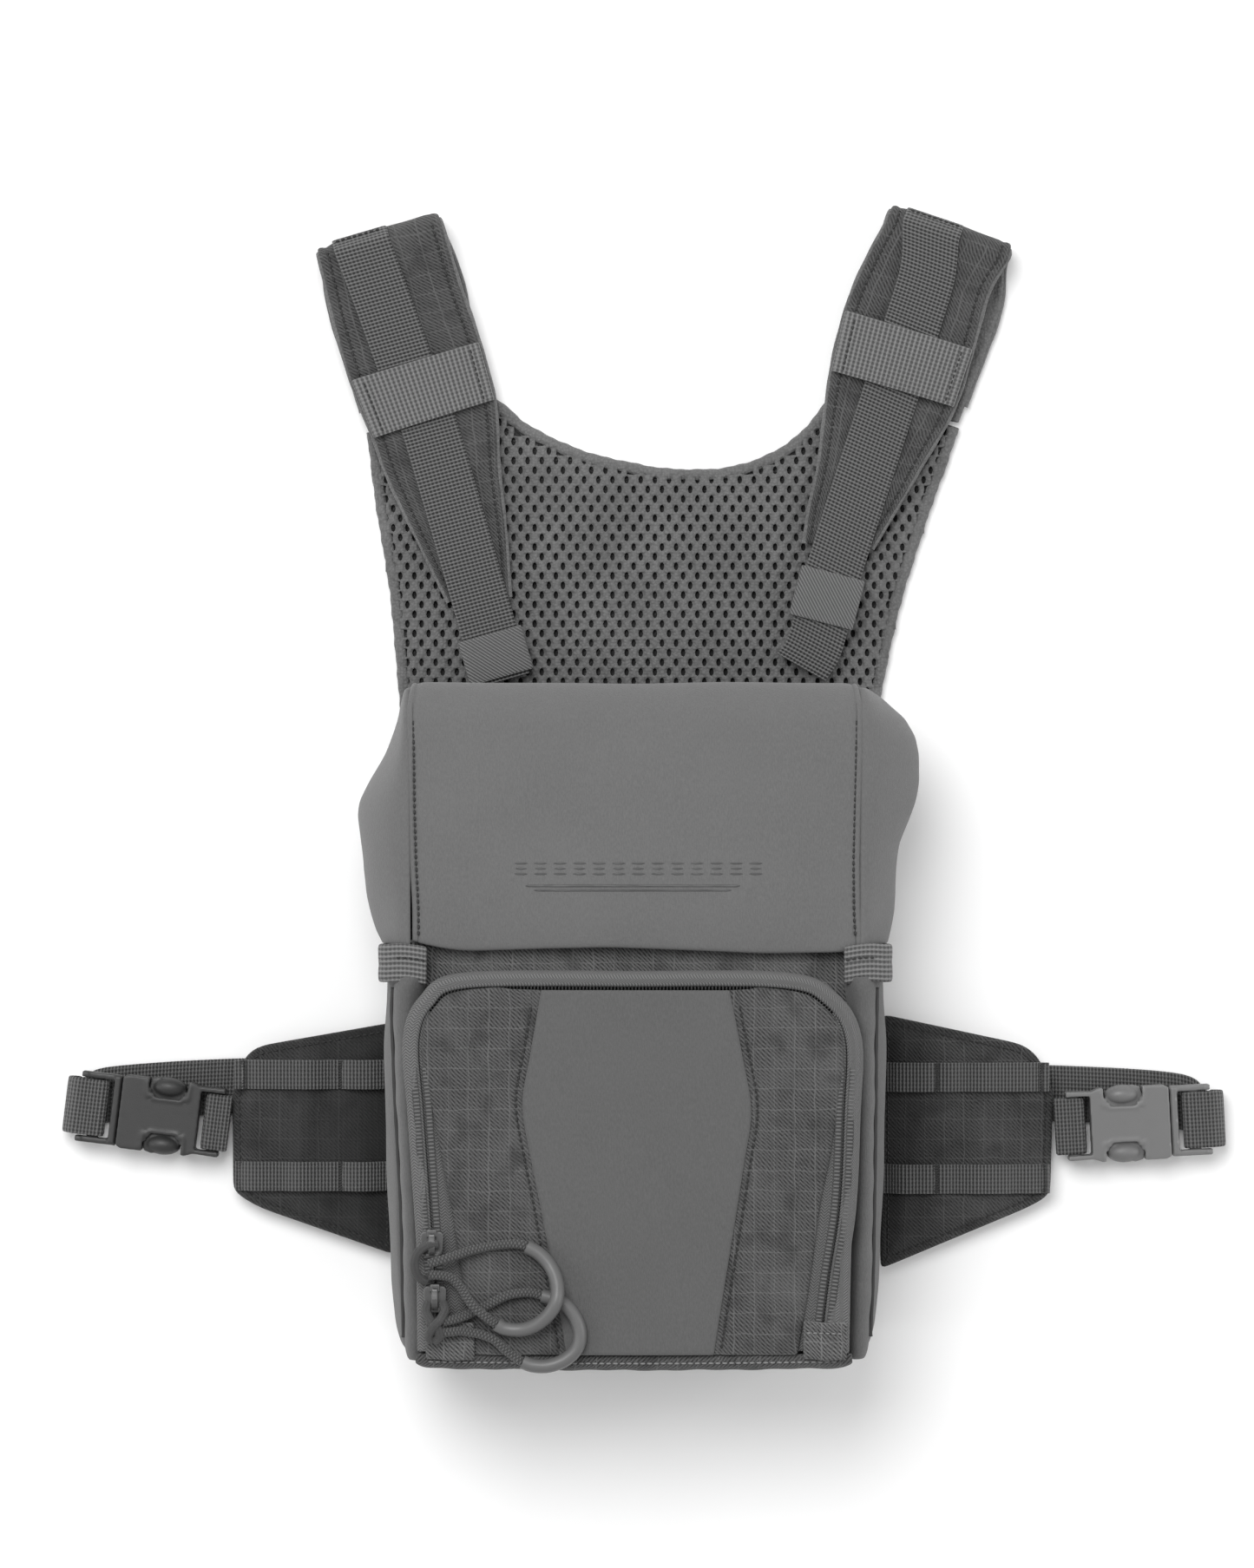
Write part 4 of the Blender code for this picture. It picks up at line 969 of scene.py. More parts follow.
for side, x_mid, sign in (("left", -78.0, -1), ("right", 79.0, 1)):
    z, y = np.meshgrid(np.linspace(14.2, 79.2, 24), np.linspace(-113.7, 118, 50))
    if sign < 0:
        z = z[:, ::-1]
    bow = 0.5 * np.sin((z - 14) / 65 * math.pi) * np.sin(y / 18.0)
    middle = np.stack([x_mid + bow * sign * 0.6, y, z], axis=2)
    piece = shell(f"pouch_side_cloth_{side}", middle, WALL_T, [pouch_cloth], "harness")
    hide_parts(f"pouch_side_{side}")
x, z = np.meshgrid(np.linspace(-80.9, 81.9, 48), np.linspace(14.2, 86.8, 24))
y = -115.6 - 0.7 * np.sin((z - 14) / 73 * math.pi) * (1 + 0.3 * np.sin(x / 11.0))
piece = shell("pouch_bottom_cloth", np.stack([x, y, z], axis=2), WALL_T, [pouch_cloth], "harness")
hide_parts("pouch_bottom")

# Front corners: the softshell of the side pocket is folded round the pouch's corner
# seam and topstitched, which leaves a firm roll down each side.
CORNER_ROLLS = {
    "left": ([(-80.6, 18.6), (-82.2, 4), (-82.0, -30), (-80.3, -64), (-79.4, -92), (-78.4, -119.8)],
             [5.0, 3.6, 2.9, 2.9, 3.2, 3.6]),
    "right": ([(81.6, 18.6), (82.3, 6), (82.9, -30), (82.4, -64), (81.6, -92), (80.0, -119.4)],
              [5.0, 3.8, 3.3, 3.4, 3.7, 3.9]),
}
for side in ("left", "right"):
    line, widths = CORNER_ROLLS[side]
    route = through([(x, y, 84.4) for x, y in line], 2.0)
    share = np.linspace(0, 1, len(route))
    half = np.interp(share, np.linspace(0, 1, len(widths)), widths)
    rows = []
    for i, here in enumerate(route):
        end = min(1.0, math.sqrt(max(0.0, 1 - max(0, (i - len(route) + 4) / 4.0) ** 2)) + 0.02)
        ripple = 1 + 0.035 * math.sin(i * 0.9) + 0.025 * math.sin(i * 0.37)
        row = []
        for k in range(15):
            turn = math.radians(205 - 230 * k / 14)
            row.append((here[0] + half[i] * end * ripple * math.cos(turn), here[1],
                        here[2] - 1.9 + 8.5 * end * ripple * math.sin(turn)))
        rows.append(row)
    piece = shell(f"corner_roll_{side}", rows, TRIM_T, [trim_cloth], "harness")
    sign = -1 if side == "left" else 1
    # Painted shade: a thin tube of dark thread beside each roll stands for the shadow in the
    # crevice where the roll meets the side pocket.
    crevice_shade = [(x + sign * (wide + 0.9), y, 84.6) for (x, y, _), wide in zip(route, half)]
    rolled_edge(f"corner_crevice_shade_{side}", crevice_shade[2:-4], 0.95, 1.0, thread, "harness",
                0.05, sides=6)

# ------------------------------------------------------------------ stretch side pockets
# A softshell pocket lies flat on each side of the pouch. Knitted elastic, stitched
# in one row, gathers its mouth.
REACH = [(18, 10.2), (10, 10.4), (-6, 11.2), (-30, 11.0), (-67, 9.8), (-92, 8.6), (-110, 6.9),
         (-116, 5.2), (-118.2, 3.2), (-119.5, 0.2)]
for side, sign in (("left", -1), ("right", 1)):
    seam = -79.6 if side == "left" else 80.6
    shares = np.linspace(0, 1, 21)
    rows = []
    ys = np.linspace(17.5, -119.5, 62)
    for y in ys:
        reach = np.interp(-y, [-a for a, _ in REACH], [b for _, b in REACH])
        ripple = 0.25 * math.sin(y / 7.0)
        row = []
        for t in shares:
            swell = max(0.0, math.sin(math.pi * (0.04 + 0.96 * t))) ** 0.6
            row.append((seam + sign * (reach * swell + ripple * swell * math.sin(3 * math.pi * t)),
                        y, 76.0 - 56.0 * t - 6.0 * max(0.0, 1 - t / 0.1)))
        rows.append(row)
    rows = np.array(rows)
    if sign > 0:
        rows = rows[::-1]
    piece = shell(f"side_pocket_cloth_{side}", rows, TRIM_T, [trim_cloth], "harness")
    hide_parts(f"side_pocket_{side}")

    rows = []
    for y in np.linspace(15.6, 29.4, 12):
        row = []
        for t in np.linspace(0, 1, 26):
            # From the pocket's front corner over the edge, down the side and to the back.
            if t < 0.3:
                s = t / 0.3
                row.append((seam + sign * (-5.0 + 13.5 * s), y + 1.2 * math.sin(2.2 * s),
                            89.5 + 0.6 * math.sin(math.pi * s) - 1.0 * s))
            elif t < 0.42:
                a = (t - 0.3) / 0.12 * math.pi / 2
                row.append((seam + sign * (8.5 + 3.6 * math.sin(a)), y + 0.9,
                            88.5 - 5.0 * (1 - math.cos(a))))
            else:
                s = (t - 0.42) / 0.58
                row.append((seam + sign * (12.1 - 9.0 * s ** 1.6), y + 0.9 - 0.9 * s,
                            83.5 - 63 * s))
        rows.append(row)
    rows = np.array(rows)
    if sign > 0:
        rows = rows[::-1]
    piece = shell(f"pocket_elastic_{side}", rows, np.array(
        [0.9, 1.7, 1.7, 1.6, 1.6, 1.1, 1.6, 1.6, 1.7, 1.7, 1.8, 1.0])[:, None],
        [elastic_cloth], "harness")
    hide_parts(f"side_pocket_elastic_{side}")
    row = [(seam + sign * d, 24.3 + 1.2 * math.sin(2.2 * s), 91.1 + 0.5 * math.sin(math.pi * s) - s)
           for d, s in ((-4.6, 0.03), (-1, 0.3), (3, 0.6), (7.6, 0.93))]
    stitch_line(f"pocket_elastic_stitch_{side}", row, 2.2, thread, "harness")

# ------------------------------------------------------------------ front pocket and its zip
# A zip runs up the left side of the front pocket, over its top and down the right.
# It is a reverse-coil zip: woven tape outside, a slit, and the coil just under it.
ZIP_ROUTE = [(-70, -115), (-71.5, -90), (-73, -66), (-75.5, -30), (-77.2, -4), (-72, 8.6),
             (-59, 14.9), (0, 15.3), (53, 14.9), (68.5, 9), (76, -4), (75.5, -30), (74, -63),
             (70, -90), (67, -115)]
zip_route = through([(x, y, 0.0) for x, y in ZIP_ROUTE], 1.6)
zip_run = np.gradient(zip_route, axis=0)
zip_run /= np.linalg.norm(zip_run, axis=1)[:, None]
zip_side = np.stack([zip_run[:, 1], -zip_run[:, 0], 0 * zip_run[:, 0]], axis=1)  # inwards


def along_zip(section):
    """Rows of points at (offset, height) stations beside the zip."""
    rows = []
    for i in range(len(zip_route)):
        wave = 0.16 * math.sin(i * 0.21) + 0.1 * math.sin(i * 0.53)
        rows.append([zip_route[i] + zip_side[i] * off + np.array([0, 0, h + wave])
                     for off, h in section])
    return np.array(rows)


def twill_tape(name, hex_colour, dark_hex, pitch):
    """Woven polyester tape: a fine herringbone, drawn coarse to show as a dull grain."""
    mat, shader = finish_of(name, hex_colour, 0.75)
    place = in_mm(mat, "UV")
    split = add(mat, "SeparateXYZ", links={0: place})
    fold = add(mat, "Math", {1: 1.4}, {0: split.outputs[0]}, operation="PINGPONG")
    slope = add(mat, "Math", links={0: fold, 1: split.outputs[1]})
    wave = wave_of(mat, slope, pitch)
    fuzz = add(mat, "TexNoise", {"Scale": 3.0, "Detail": 3.0}, {"Vector": place})
    rise = add(mat, "Math", {1: 1.2}, {0: fuzz.outputs["Fac"], 2: wave}, operation="MULTIPLY_ADD")
    share = add(mat, "MapRange", {1: -0.6, 2: 1.6, 3: 1.0, 4: 0.0}, {0: rise})
    colour = add(mat, "MixRGB", {1: tone(hex_colour), 2: tone(dark_hex)}, {0: share})
    bump = add(mat, "Bump", {"Strength": 0.6, "Distance": 0.00025}, {"Height": rise})
    feed(mat, {"Base Color": colour, "Normal": bump})
    return mat


outer_tape = twill_tape("woven_zip_tape_outer", "#727272", "#454545", 1.1)
inner_tape = twill_tape("woven_zip_tape_inner", "#636363", "#383838", 1.1)
# The coil: nylon monofilament, wound and smooth, with a slight shine.
coil_plastic, _ = finish_of("zip_coil_nylon", "#2e2e2e", 0.45)
coil_grain = add(coil_plastic, "TexNoise", {"Scale": 1200.0})
coil_bump = add(coil_plastic, "Bump", {"Strength": 0.2, "Distance": 0.0001},
                {"Height": coil_grain.outputs["Fac"]})
feed(coil_plastic, {"Normal": coil_bump})

ZIP_BAND = [(-3.1, 82.8), (-3.2, 88), (-3.5, 93), (-4.4, 97.2), (-5.2, 99.4), (-5.3, 100.6),
            (-4.9, 101.35), (-4.2, 101.7), (-3.2, 101.85), (-2.2, 101.8), (-1.3, 101.7),
            (-0.75, 101.4), (-0.45, 100.9), (-0.5, 100.2)]
band = along_zip(ZIP_BAND)
for i, here in enumerate(zip_route):
    # Down both sides the tape widens until it meets the pouch's corner roll.
    if here[1] < 0:
        wide = max(1.0, (77.6 - abs(here[0])) / 5.3)
        for k, (off, _) in enumerate(ZIP_BAND):
            if off < -0.76:
                band[i, k] += zip_side[i] * (off + 0.75) * (wide - 1)
piece = shell("zip_band_cloth", band, 1.1, [outer_tape], "harness")
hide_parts("pocket_gusset", "zip_tape_outer")

# The coil's turns cross the slit, 1.25 mm apart.
points, faces = [], []
COIL_PITCH, COIL_HALF, COIL_THICK = 1.25, 1.7, 0.42
coil_line = through([(x, y, 99.9) for x, y in ZIP_ROUTE], COIL_PITCH)
for i in range(2, len(coil_line) - 2):
    run = coil_line[i + 1] - coil_line[i - 1]
    out = np.array([run[1], -run[0], 0]) / np.linalg.norm(run) * COIL_HALF
    thread_turn(points, faces, coil_line[i] - out, coil_line[i] + out, COIL_THICK)
piece = mesh_piece("zip_coil_turns", points, faces, [coil_plastic], "harness")
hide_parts("zip_coil")

# Flap of the pocket: two ripstop sides and a softshell middle, felled together and
# topstitched beside the seam. The zip's inner tape is sewn round its edge.
FLAP_FOOT_Y = -116.6
CENTRE_LEFT = [(-24, FLAP_FOOT_Y), (-28.5, -91), (-33, -66), (-37.0, -46), (-40, -27),
               (-37.0, -8), (-33.2, 14.3)]
CENTRE_RIGHT = [(28.5, FLAP_FOOT_Y), (32.4, -92), (36, -70), (39.3, -49), (42, -29),
                (38.6, -8), (34.2, 14.2)]
FLAP_EDGES = {
    "left": [(-57.4, FLAP_FOOT_Y), (-61.3, -92), (-65.4, -65), (-69.8, -42), (-73.6, -22),
             (-76.3, -4), (-71.3, 7.9), (-58.8, 14.2), (-48, 14.6)],
    "right": [(58.7, FLAP_FOOT_Y), (62.8, -92), (66.6, -64), (70.6, -44), (74.0, -22),
              (75.1, -4.2), (67.8, 8.2), (52.9, 14.2), (44, 14.6)],
}
flap_cloth = ripstop("ripstop_flap", "#5a5a5a", "#6c6c6c", "UV", "#161616")
flap_softshell = softshell("softshell_flap", "#4d4d4d", "#5e5e5e")


def even(line, count):
    """Plan points picked at an even step from a smooth curve through others."""
    return picked(through([(x, y, 0.0) for x, y in line], 0.5), count)[:, :2]


def fold_at_hem(piece):
    """Sewn into the bottom hem, the flap's foot stays there; this bakes the piece's placement into
    its mesh.
    """
    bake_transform(piece)


FLAP_ROWS = 70
for side, sign in (("left", -1), ("right", 1)):
    seam = even(CENTRE_LEFT if side == "left" else CENTRE_RIGHT, FLAP_ROWS)
    edge = even(FLAP_EDGES[side], FLAP_ROWS)
    for i, (x, y) in enumerate(edge):           # the top corner follows the zip's slit
        near = np.argmin(np.hypot(zip_route[:, 0] - x, zip_route[:, 1] - y))
        by_zip = (zip_route[near] + zip_side[near] * 0.7)[:2]
        edge[i] += (by_zip - edge[i]) * min(1.0, max(0.0, (y + 22) / 18))
    width = np.linalg.norm(edge - seam, axis=1)
    rows, thick = [], []
    from_seam = [-0.9, 0.3, 1.4, 2.1, 2.5, 2.9, 3.7, 5.0]
    for i in range(FLAP_ROWS):
        free = np.linspace(6.5, width[i], 13)
        out = (edge[i] - seam[i]) / width[i]
        row, fat = [], []
        for d in [*from_seam, *free]:
            x, y = seam[i] + out * d
            share = d / width[i]
            over = min(1, max(0, (d - 2.5) / (width[i] - 2.5)))
            swell = 0.75 * max(0.0, math.sin(math.pi * over))
            crease = (math.sin(x / 4.1 + y / 6.3) * 0.30 + math.sin(x / 7.7 - y / 3.9) * 0.22
                      + 0.16 * math.sin(y / 2.6 + x / 9.0))
            fade = min(1.0, max(0.0, (d - 2.5) / 5)) * min(1.0, max(0.0, (width[i] - d) / 3))
            edge_dip = -0.6 * max(0.0, 1 - (width[i] - d) / 1.5)
            row.append((x, y, 101.35 + swell + crease * fade + edge_dip
                        - (0.25 if 2.0 < d < 3.0 else 0)))
            fat.append(0.9 if d < 0 else 0.55 if 2.0 < d < 3.0 else 1.3)
        rows.append(row)
        thick.append(fat)
    rows, thick = np.array(rows), np.array(thick)
    # Undo the row's own slant in the weave, so that its grid stays upright.
    uvs = rows[..., :2] + np.array([0.0, 130.0])
    if sign < 0:
        rows, thick, uvs = rows[:, ::-1], thick[:, ::-1], uvs[:, ::-1]
    piece = shell(f"flap_side_cloth_{side}", rows, thick, [flap_cloth], None, uvs=uvs)
    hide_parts(f"flap_side_{side}")
    fold_at_hem(piece)
    stitches = [(*(seam[i] + (edge[i] - seam[i]) / width[i] * 2.5), 101.65)
                for i in range(1, FLAP_ROWS - 1, 3)]
    fold_at_hem(stitch_line(f"flap_stitch_{side}", stitches, 2.5, thread, None))

    # Inner half of the zip tape, seen where the flap's edge leaves the zip.
    half = range(0, 78) if side == "left" else range(len(zip_route) - 78, len(zip_route))
    rows = []
    for i in half:
        y = zip_route[i][1]
        inner = np.interp(y, [p[1] for p in FLAP_EDGES[side][:6]],
                          [p[0] for p in FLAP_EDGES[side][:6]])
        start = zip_route[i] + zip_side[i] * 0.45
        stop = np.array([inner - sign * 2.5, y - 0.5, 0])
        rows.append([start * (1 - s) + stop * s + np.array([0, 0, h]) for s, h in (
            (0.0, 99.7), (0.02, 100.3), (0.07, 100.75), (0.2, 100.7), (0.45, 100.4),
            (0.75, 100.15), (1.0, 100.0))])
    piece = shell(f"zip_tape_inner_{side}", rows, 0.8, [inner_tape], None)
    fold_at_hem(piece)

    # The coil's turns show through the woven tape as two ladders beside the slit.
    for label, sense, body in (("inner", 1, None), ("outer", -1, "harness")):
        points, faces = [], []
        ladder = through([zip_route[i] for i in half if zip_route[i][1] < -12], 1.35)
        for i in range(1, len(ladder) - 1):
            run = ladder[i + 1] - ladder[i - 1]
            out = np.array([run[1], -run[0], 0]) / np.linalg.norm(run) * sense
            lift = np.array([0, 0, 101.22 if sense > 0 else 102.38])
            thread_turn(points, faces, ladder[i] + out * 1.0 + lift,
                        ladder[i] + out * 3.1 + lift, 0.47)
        piece = mesh_piece(f"coil_ladder_{label}_{side}", points, faces, [outer_tape], body)
        # Under each ladder lies a strip of dark coil nylon: partly the coil seen between the turns,
        # partly painted shade between them.
        run = np.gradient(ladder, axis=0)
        out = np.stack([run[:, 1], -run[:, 0], 0 * run[:, 0]], axis=1)
        out *= sense / np.linalg.norm(run, axis=1)[:, None]
        rows = np.array([[here + way * d + lift * (1, 1, 0.9985) for d in (0.75, 1.6, 2.5, 3.4)]
                         for here, way in zip(ladder, out)])
        gap = shell(f"coil_shadow_{label}_{side}", rows, 0.2, [coil_plastic], body)
        if sense > 0:
            fold_at_hem(piece)
            fold_at_hem(gap)

left = even(CENTRE_LEFT, FLAP_ROWS)
right = even(CENTRE_RIGHT, FLAP_ROWS)
rows, thick = [], []
for i in range(FLAP_ROWS):
    width = np.linalg.norm(right[i] - left[i])
    row, fat = [], []
    for share in (0.0, 0.006, 0.016, 0.03, 0.05, 0.09, 0.16, 0.26, 0.38, 0.5, 0.62, 0.74, 0.84,
                  0.91, 0.95, 0.97, 0.984, 0.994, 1.0):
        x, y = left[i] * (1 - share) + right[i] * share
        dome = 0.9 * math.sin(math.pi * share) ** 0.5
        slack = 0.14 * math.sin(y / 11.0 + x / 19.0)
        row.append((x, y, 102.0 + dome + slack))
        fat.append(0.7 if share in (0.0, 1.0) else 1.7 if share < 0.01 or share > 0.99 else 2.1)
    rows.append(row)
    thick.append(fat)
piece = shell("flap_centre_softshell", rows, thick, [flap_softshell], None)
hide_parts("flap_centre")
fold_at_hem(piece)

# Bottom hem: ripstop bound over the seam of flap, pouch and bottom, topstitched.
rows = []
for k in range(13):
    turn = math.radians(112 - 17 * k)
    row = []
    for x in np.r_[-78.2, -77.6, -76.4, -74.5, np.linspace(-72, 72, 62), 74.5, 76.4, 77.6, 78.2]:
        share = (x + 78.2) / 156.4
        end = math.sqrt(max(0.05, 1 - max(0.0, 1 - min(x + 78.2, 78.2 - x) / 6.0) ** 2))
        ripple = 0.16 * math.sin(x / 2.1) + 0.12 * math.sin(x / 5.3)
        row.append((x, -116.6 - (4.6 + ripple) * (0.45 + 0.55 * end) * math.cos(turn - 0.25)
                    - 0.8 * math.sin(math.pi * share),
                    92.8 + (7.2 + ripple * 0.5) * math.sin(turn)))
    rows.append(row)
piece = shell("bottom_hem_cloth", rows, 1.5, [flap_cloth], "harness")
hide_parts("bottom_hem")
hem_top = drop_on(piece)
line = [(x, y, hem_top(x, y) + 0.2) for x, y in (
    (x, -118.9 - 0.8 * math.sin(math.pi * (x + 80) / 160)) for x in range(-74, 75, 2))]
stitch_line("hem_stitch", line, 2.45, thread_pale, "harness", 0.68, 0.4, (0, -0.5, 1))

# Zip garages: a folded tab of ripstop sewn over each lower end of the zip.
for side, x_low, x_high in (("left", -74.6, -57.0), ("right", 60.6, 76.2)):
    rows, thick = [], []
    for y, fat in ((-104.4, 1.2), (-104.9, 2.2), (-106.2, 2.4), (-107.6, 2.2), (-108.3, 1.2),
                   (-109.0, 1.7), (-112.0, 1.7), (-115.0, 1.7), (-118.2, 1.6)):
        rows.append([(x_low + (x_high - x_low) * s, y - 0.5 * s + 0.25 * math.sin(9 * s),
                      102.6 + 0.35 * math.sin(5 * s + y / 3.0)) for s in np.linspace(0, 1, 16)])
        thick.append([fat] * 16)
    piece = shell(f"zip_garage_tab_{side}", np.array(rows)[::-1], np.array(thick)[::-1],
                  [pouch_cloth], "harness")
    seam = [(x_low + (x_high - x_low) * s, -108.4 - 0.5 * s, 103.55)
            for s in (0.06, 0.35, 0.65, 0.94)]
    stitch_line(f"zip_garage_stitch_{side}", seam, 2.2, thread_pale, "harness")

# ------------------------------------------------------------------ lid
# The lid is a hood of foam-backed stretch softshell. Its front panel meets two
# gussets in a seam that is turned in and topstitched; magnets hold its lower edge.
lid_cloth = softshell("softshell_lid", "#595959", "#6b6b6b")
LID_LEFT_EDGE = [(29, -79.9), (42, -79.9), (60, -80.8), (80, -81.4), (100, -81.6), (116, -81.9),
                 (125, -80.5)]
LID_RIGHT_EDGE = [(29, 82.3), (42, 81.6), (60, 81.4), (80, 81.8), (100, 82.3), (116, 82.5),
                  (125, 81.0)]
LID_LOW_EDGE = [(-80.5, 31.8), (-75.9, 30.2), (-67, 28.4), (-59.3, 27.7), (-35, 28.5),
                (-9.4, 29.1), (20, 28.0), (46.8, 26.8), (76.5, 27.3), (83, 30.0)]
LID_FRONT_Z, LID_CORNER_R = 87.6, 13.0
LID_LOW_Y, LID_BEND_Y, LID_END_Y = 29, 110, 123     # lower edge, start of the bend, end wall


def lid_swell(x, y):
    """How far the lid's foam domes its front, and how far its slack cloth waves."""
    dome = 1.1 * max(0.0, math.cos(math.pi * x / 176)) ** 0.7 * math.sin(
        math.pi * min(1, max(0, (y - 22) / 106)))
    return dome, 0.3 * math.sin(x / 17.0 + y / 23.0) + 0.2 * math.sin(x / 9.0 - y / 15.0)


profile = [(LID_LOW_Y, LID_FRONT_Z), (29.6, LID_FRONT_Z), (30.6, LID_FRONT_Z), (31.6, LID_FRONT_Z)]
profile += [(y, LID_FRONT_Z) for y in np.linspace(33.5, LID_BEND_Y, 30)]
for k in range(1, 9):
    turn = math.radians(90 - 11.25 * k)
    profile.append((LID_BEND_Y + LID_CORNER_R * math.cos(turn),
                    LID_FRONT_Z - LID_CORNER_R + LID_CORNER_R * math.sin(turn)))
profile += [(LID_END_Y, z) for z in (66, 56, 46, 36, 28, 22)]
# The turned-in edge: distance from it, and thickness, which is least at the stitches.
LID_T = 3.5
EDGE_STEPS = [0, 0.5, 1.2, 1.9, 2.3, 2.7, 3.5, 5.0, 8.0]
EDGE_THICK = [0.8, 2.4, 3.1, 2.7, 1.9, 2.5, 3.1, 3.4, LID_T]
rows, thick = [], []
for number, (y, z) in enumerate(profile):
    left = np.interp(y, *zip(*LID_LEFT_EDGE))
    right = np.interp(y, *zip(*LID_RIGHT_EDGE))
    stations = [left + d for d in EDGE_STEPS] + list(np.linspace(left + 13, right - 13, 24))
    stations += [right - d for d in reversed(EDGE_STEPS)]
    fats = EDGE_THICK + [LID_T] * 24 + EDGE_THICK[::-1]
    row = []
    for x, fat in zip(stations, fats):
        low = np.interp(x, *zip(*LID_LOW_EDGE))
        drawn = max(0.0, 1 - (y - LID_LOW_Y) / 34.0)
        dome, slack = lid_swell(x, y)
        edge_drop = -0.9 * drawn ** 3
        sink = -0.35 if 1.9 <= min(x - left, right - x) <= 2.7 else 0.0
        if y < LID_END_Y - 0.01 and z > LID_FRONT_Z - 1:
            row.append((x, y + (low - LID_LOW_Y) * drawn, z + dome + slack + edge_drop + sink))
        else:
            row.append((x, y + slack * 0.7, z + dome * max(0, (z - 60) / 30) + slack * 0.4))
    rows.append(row)
    thick.append([f * (0.55 if number == 0 else 0.9 if number == 1 else 1.0) for f in fats])
piece = shell("lid_front_softshell", rows, thick, [lid_cloth], "lid")
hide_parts("lid_panel")
for side, sign, edge in (("left", 1, LID_LEFT_EDGE), ("right", -1, LID_RIGHT_EDGE)):
    line = [(np.interp(y, *zip(*edge)) + sign * 2.3, y, LID_FRONT_Z + 1.05
             + (0.5 if 40 < y < 105 else 0.2)) for y in np.linspace(33, 112, 24)]
    stitch_line(f"lid_stitch_{side}", line, 2.3, thread, "lid", 0.66, 0.42)

# A plain embroidered rule: satin stitch in two thin lines below a row of bars.
embroidery, _ = finish_of("rayon_embroidery", "#4c4c4c", 0.5)
satin = add(embroidery, "TexCoord").outputs["Object"]
satin_lines = add(embroidery, "Mapping", {"Scale": (300.0, 2600.0, 300.0)}, {"Vector": satin})
satin_noise = add(embroidery, "TexNoise", {"Scale": 1.0, "Detail": 1.0}, {"Vector": satin_lines})
satin_bump = add(embroidery, "Bump", {"Strength": 0.7, "Distance": 0.0003},
                 {"Height": satin_noise.outputs["Fac"]})
feed(embroidery, {"Normal": satin_bump})


def lid_height(x, y):
    """The lid's outer surface over a plan point of its flat front."""
    return LID_FRONT_Z + LID_T / 2 + sum(lid_swell(x, y))


def satin_bar(points, faces, start, stop, half):
    """One raised bar of satin stitch between two plan points of the lid."""
    route = through([(*start, 0), (*stop, 0)], 1.2)
    run = route[-1] - route[0]
    run /= np.linalg.norm(run)
    out = np.array([-run[1], run[0], 0])
    base = len(points)
    for i, here in enumerate(route):
        fat = 0.4 if i in (0, len(route) - 1) else 1.0
        for k in range(8):
            turn = math.tau * k / 8
            p = here + out * half * fat * math.cos(turn)
            points.append((p[0], p[1], lid_height(p[0], p[1]) - 0.12
                           + 0.45 * fat * math.sin(turn)))
    faces += tube_faces(len(route), 8, base)
    faces.append(tuple(base + k for k in reversed(range(8))))
    faces.append(tuple(base + (len(route) - 1) * 8 + k for k in range(8)))


points, faces = [], []
for y, x0, x1, half in ((51.3, -39.0, 38.2, 0.5), (49.7, -36.0, 35.0, 0.42)):
    satin_bar(points, faces, (x0, y), (x1, y), half)
for step in range(13):
    x = -43.0 + step * 7.05
    satin_bar(points, faces, (x, 55.6), (x + 4.6, 55.6), 0.42)
    satin_bar(points, faces, (x, 59.4), (x + 4.6, 59.4), 0.42)
    satin_bar(points, faces, (x + 0.3, 57.5), (x + 4.3, 57.5), 0.42)
piece = mesh_piece("lid_embroidered_rule", points, faces, [embroidery], "lid")

EARS = {
    "left": (-82.1, -1, [(29.6, 8.3), (35.2, 10.8), (47.9, 14.6), (57, 16.4), (66.9, 17.3),
                         (76.4, 17.6), (81.2, 16.8), (89.1, 13.0), (98.6, 7.8), (106, 4.8),
                         (111.3, 3.0), (117, 2.0), (121.6, 0.8)]),
    "right": (82.9, 1, [(29.6, 8.6), (41.6, 10.8), (54.2, 12.4), (66.9, 14.0), (76.4, 17.0),
                        (83, 19.0), (89.1, 20.1), (98.6, 20.6), (105, 19.4), (111.3, 15.6),
                        (115.1, 11.2), (119.2, 6.8), (121.8, 2.5)]),
}
for side in ("left", "right"):
    seam, sign, swells = EARS[side]
    ys = np.linspace(29.6, 121.7, 54)
    rows, thick = [], []
    for y in ys:
        reach = np.interp(y, *zip(*swells))
        up = LID_CORNER_R - math.sqrt(LID_CORNER_R ** 2 - max(0.0, y - LID_BEND_Y) ** 2)
        top = LID_FRONT_Z + 0.4 - up            # the lid's rounded front corner
        row = []
        for t in np.r_[0, 0.012, 0.035, np.linspace(0.07, 1, 26)]:
            swell = max(0.0, math.sin(math.pi * t)) ** 0.72
            fold = (0.45 * math.sin(t * 9 + y / 9.0) + 0.3 * math.sin(t * 5 - y / 6.0)) * swell
            row.append((seam + sign * (reach * swell + fold * min(1, reach / 8)), y,
                        top - (top - 17) * t))
        row[0] = (seam - sign * 1.6, y - 0.12 * up, top - 0.4)
        row[1] = (seam - sign * 0.2, y, top + 0.1)
        rows.append(row)
        thick.append([1.4, 2.0, 2.2] + [2.2] * 26)
    # At the head end the gusset turns in and is sewn behind the lid's end wall.
    for inward, back, fat in ((0.9, 0.5, 1.8), (2.2, 0.5, 1.4), (4.0, 0.3, 1.2)):
        rows.append([(x - sign * inward, y + back, min(z, 84.0)) for x, y, z in rows[53]])
        thick.append([fat] * 29)
    rows, thick = np.array(rows), np.array(thick)
    if sign < 0:
        rows, thick = rows[:, ::-1], thick[:, ::-1]
    piece = shell(f"lid_gusset_softshell_{side}", rows, thick, [lid_cloth], "lid")
    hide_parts(f"lid_gusset_{side}")

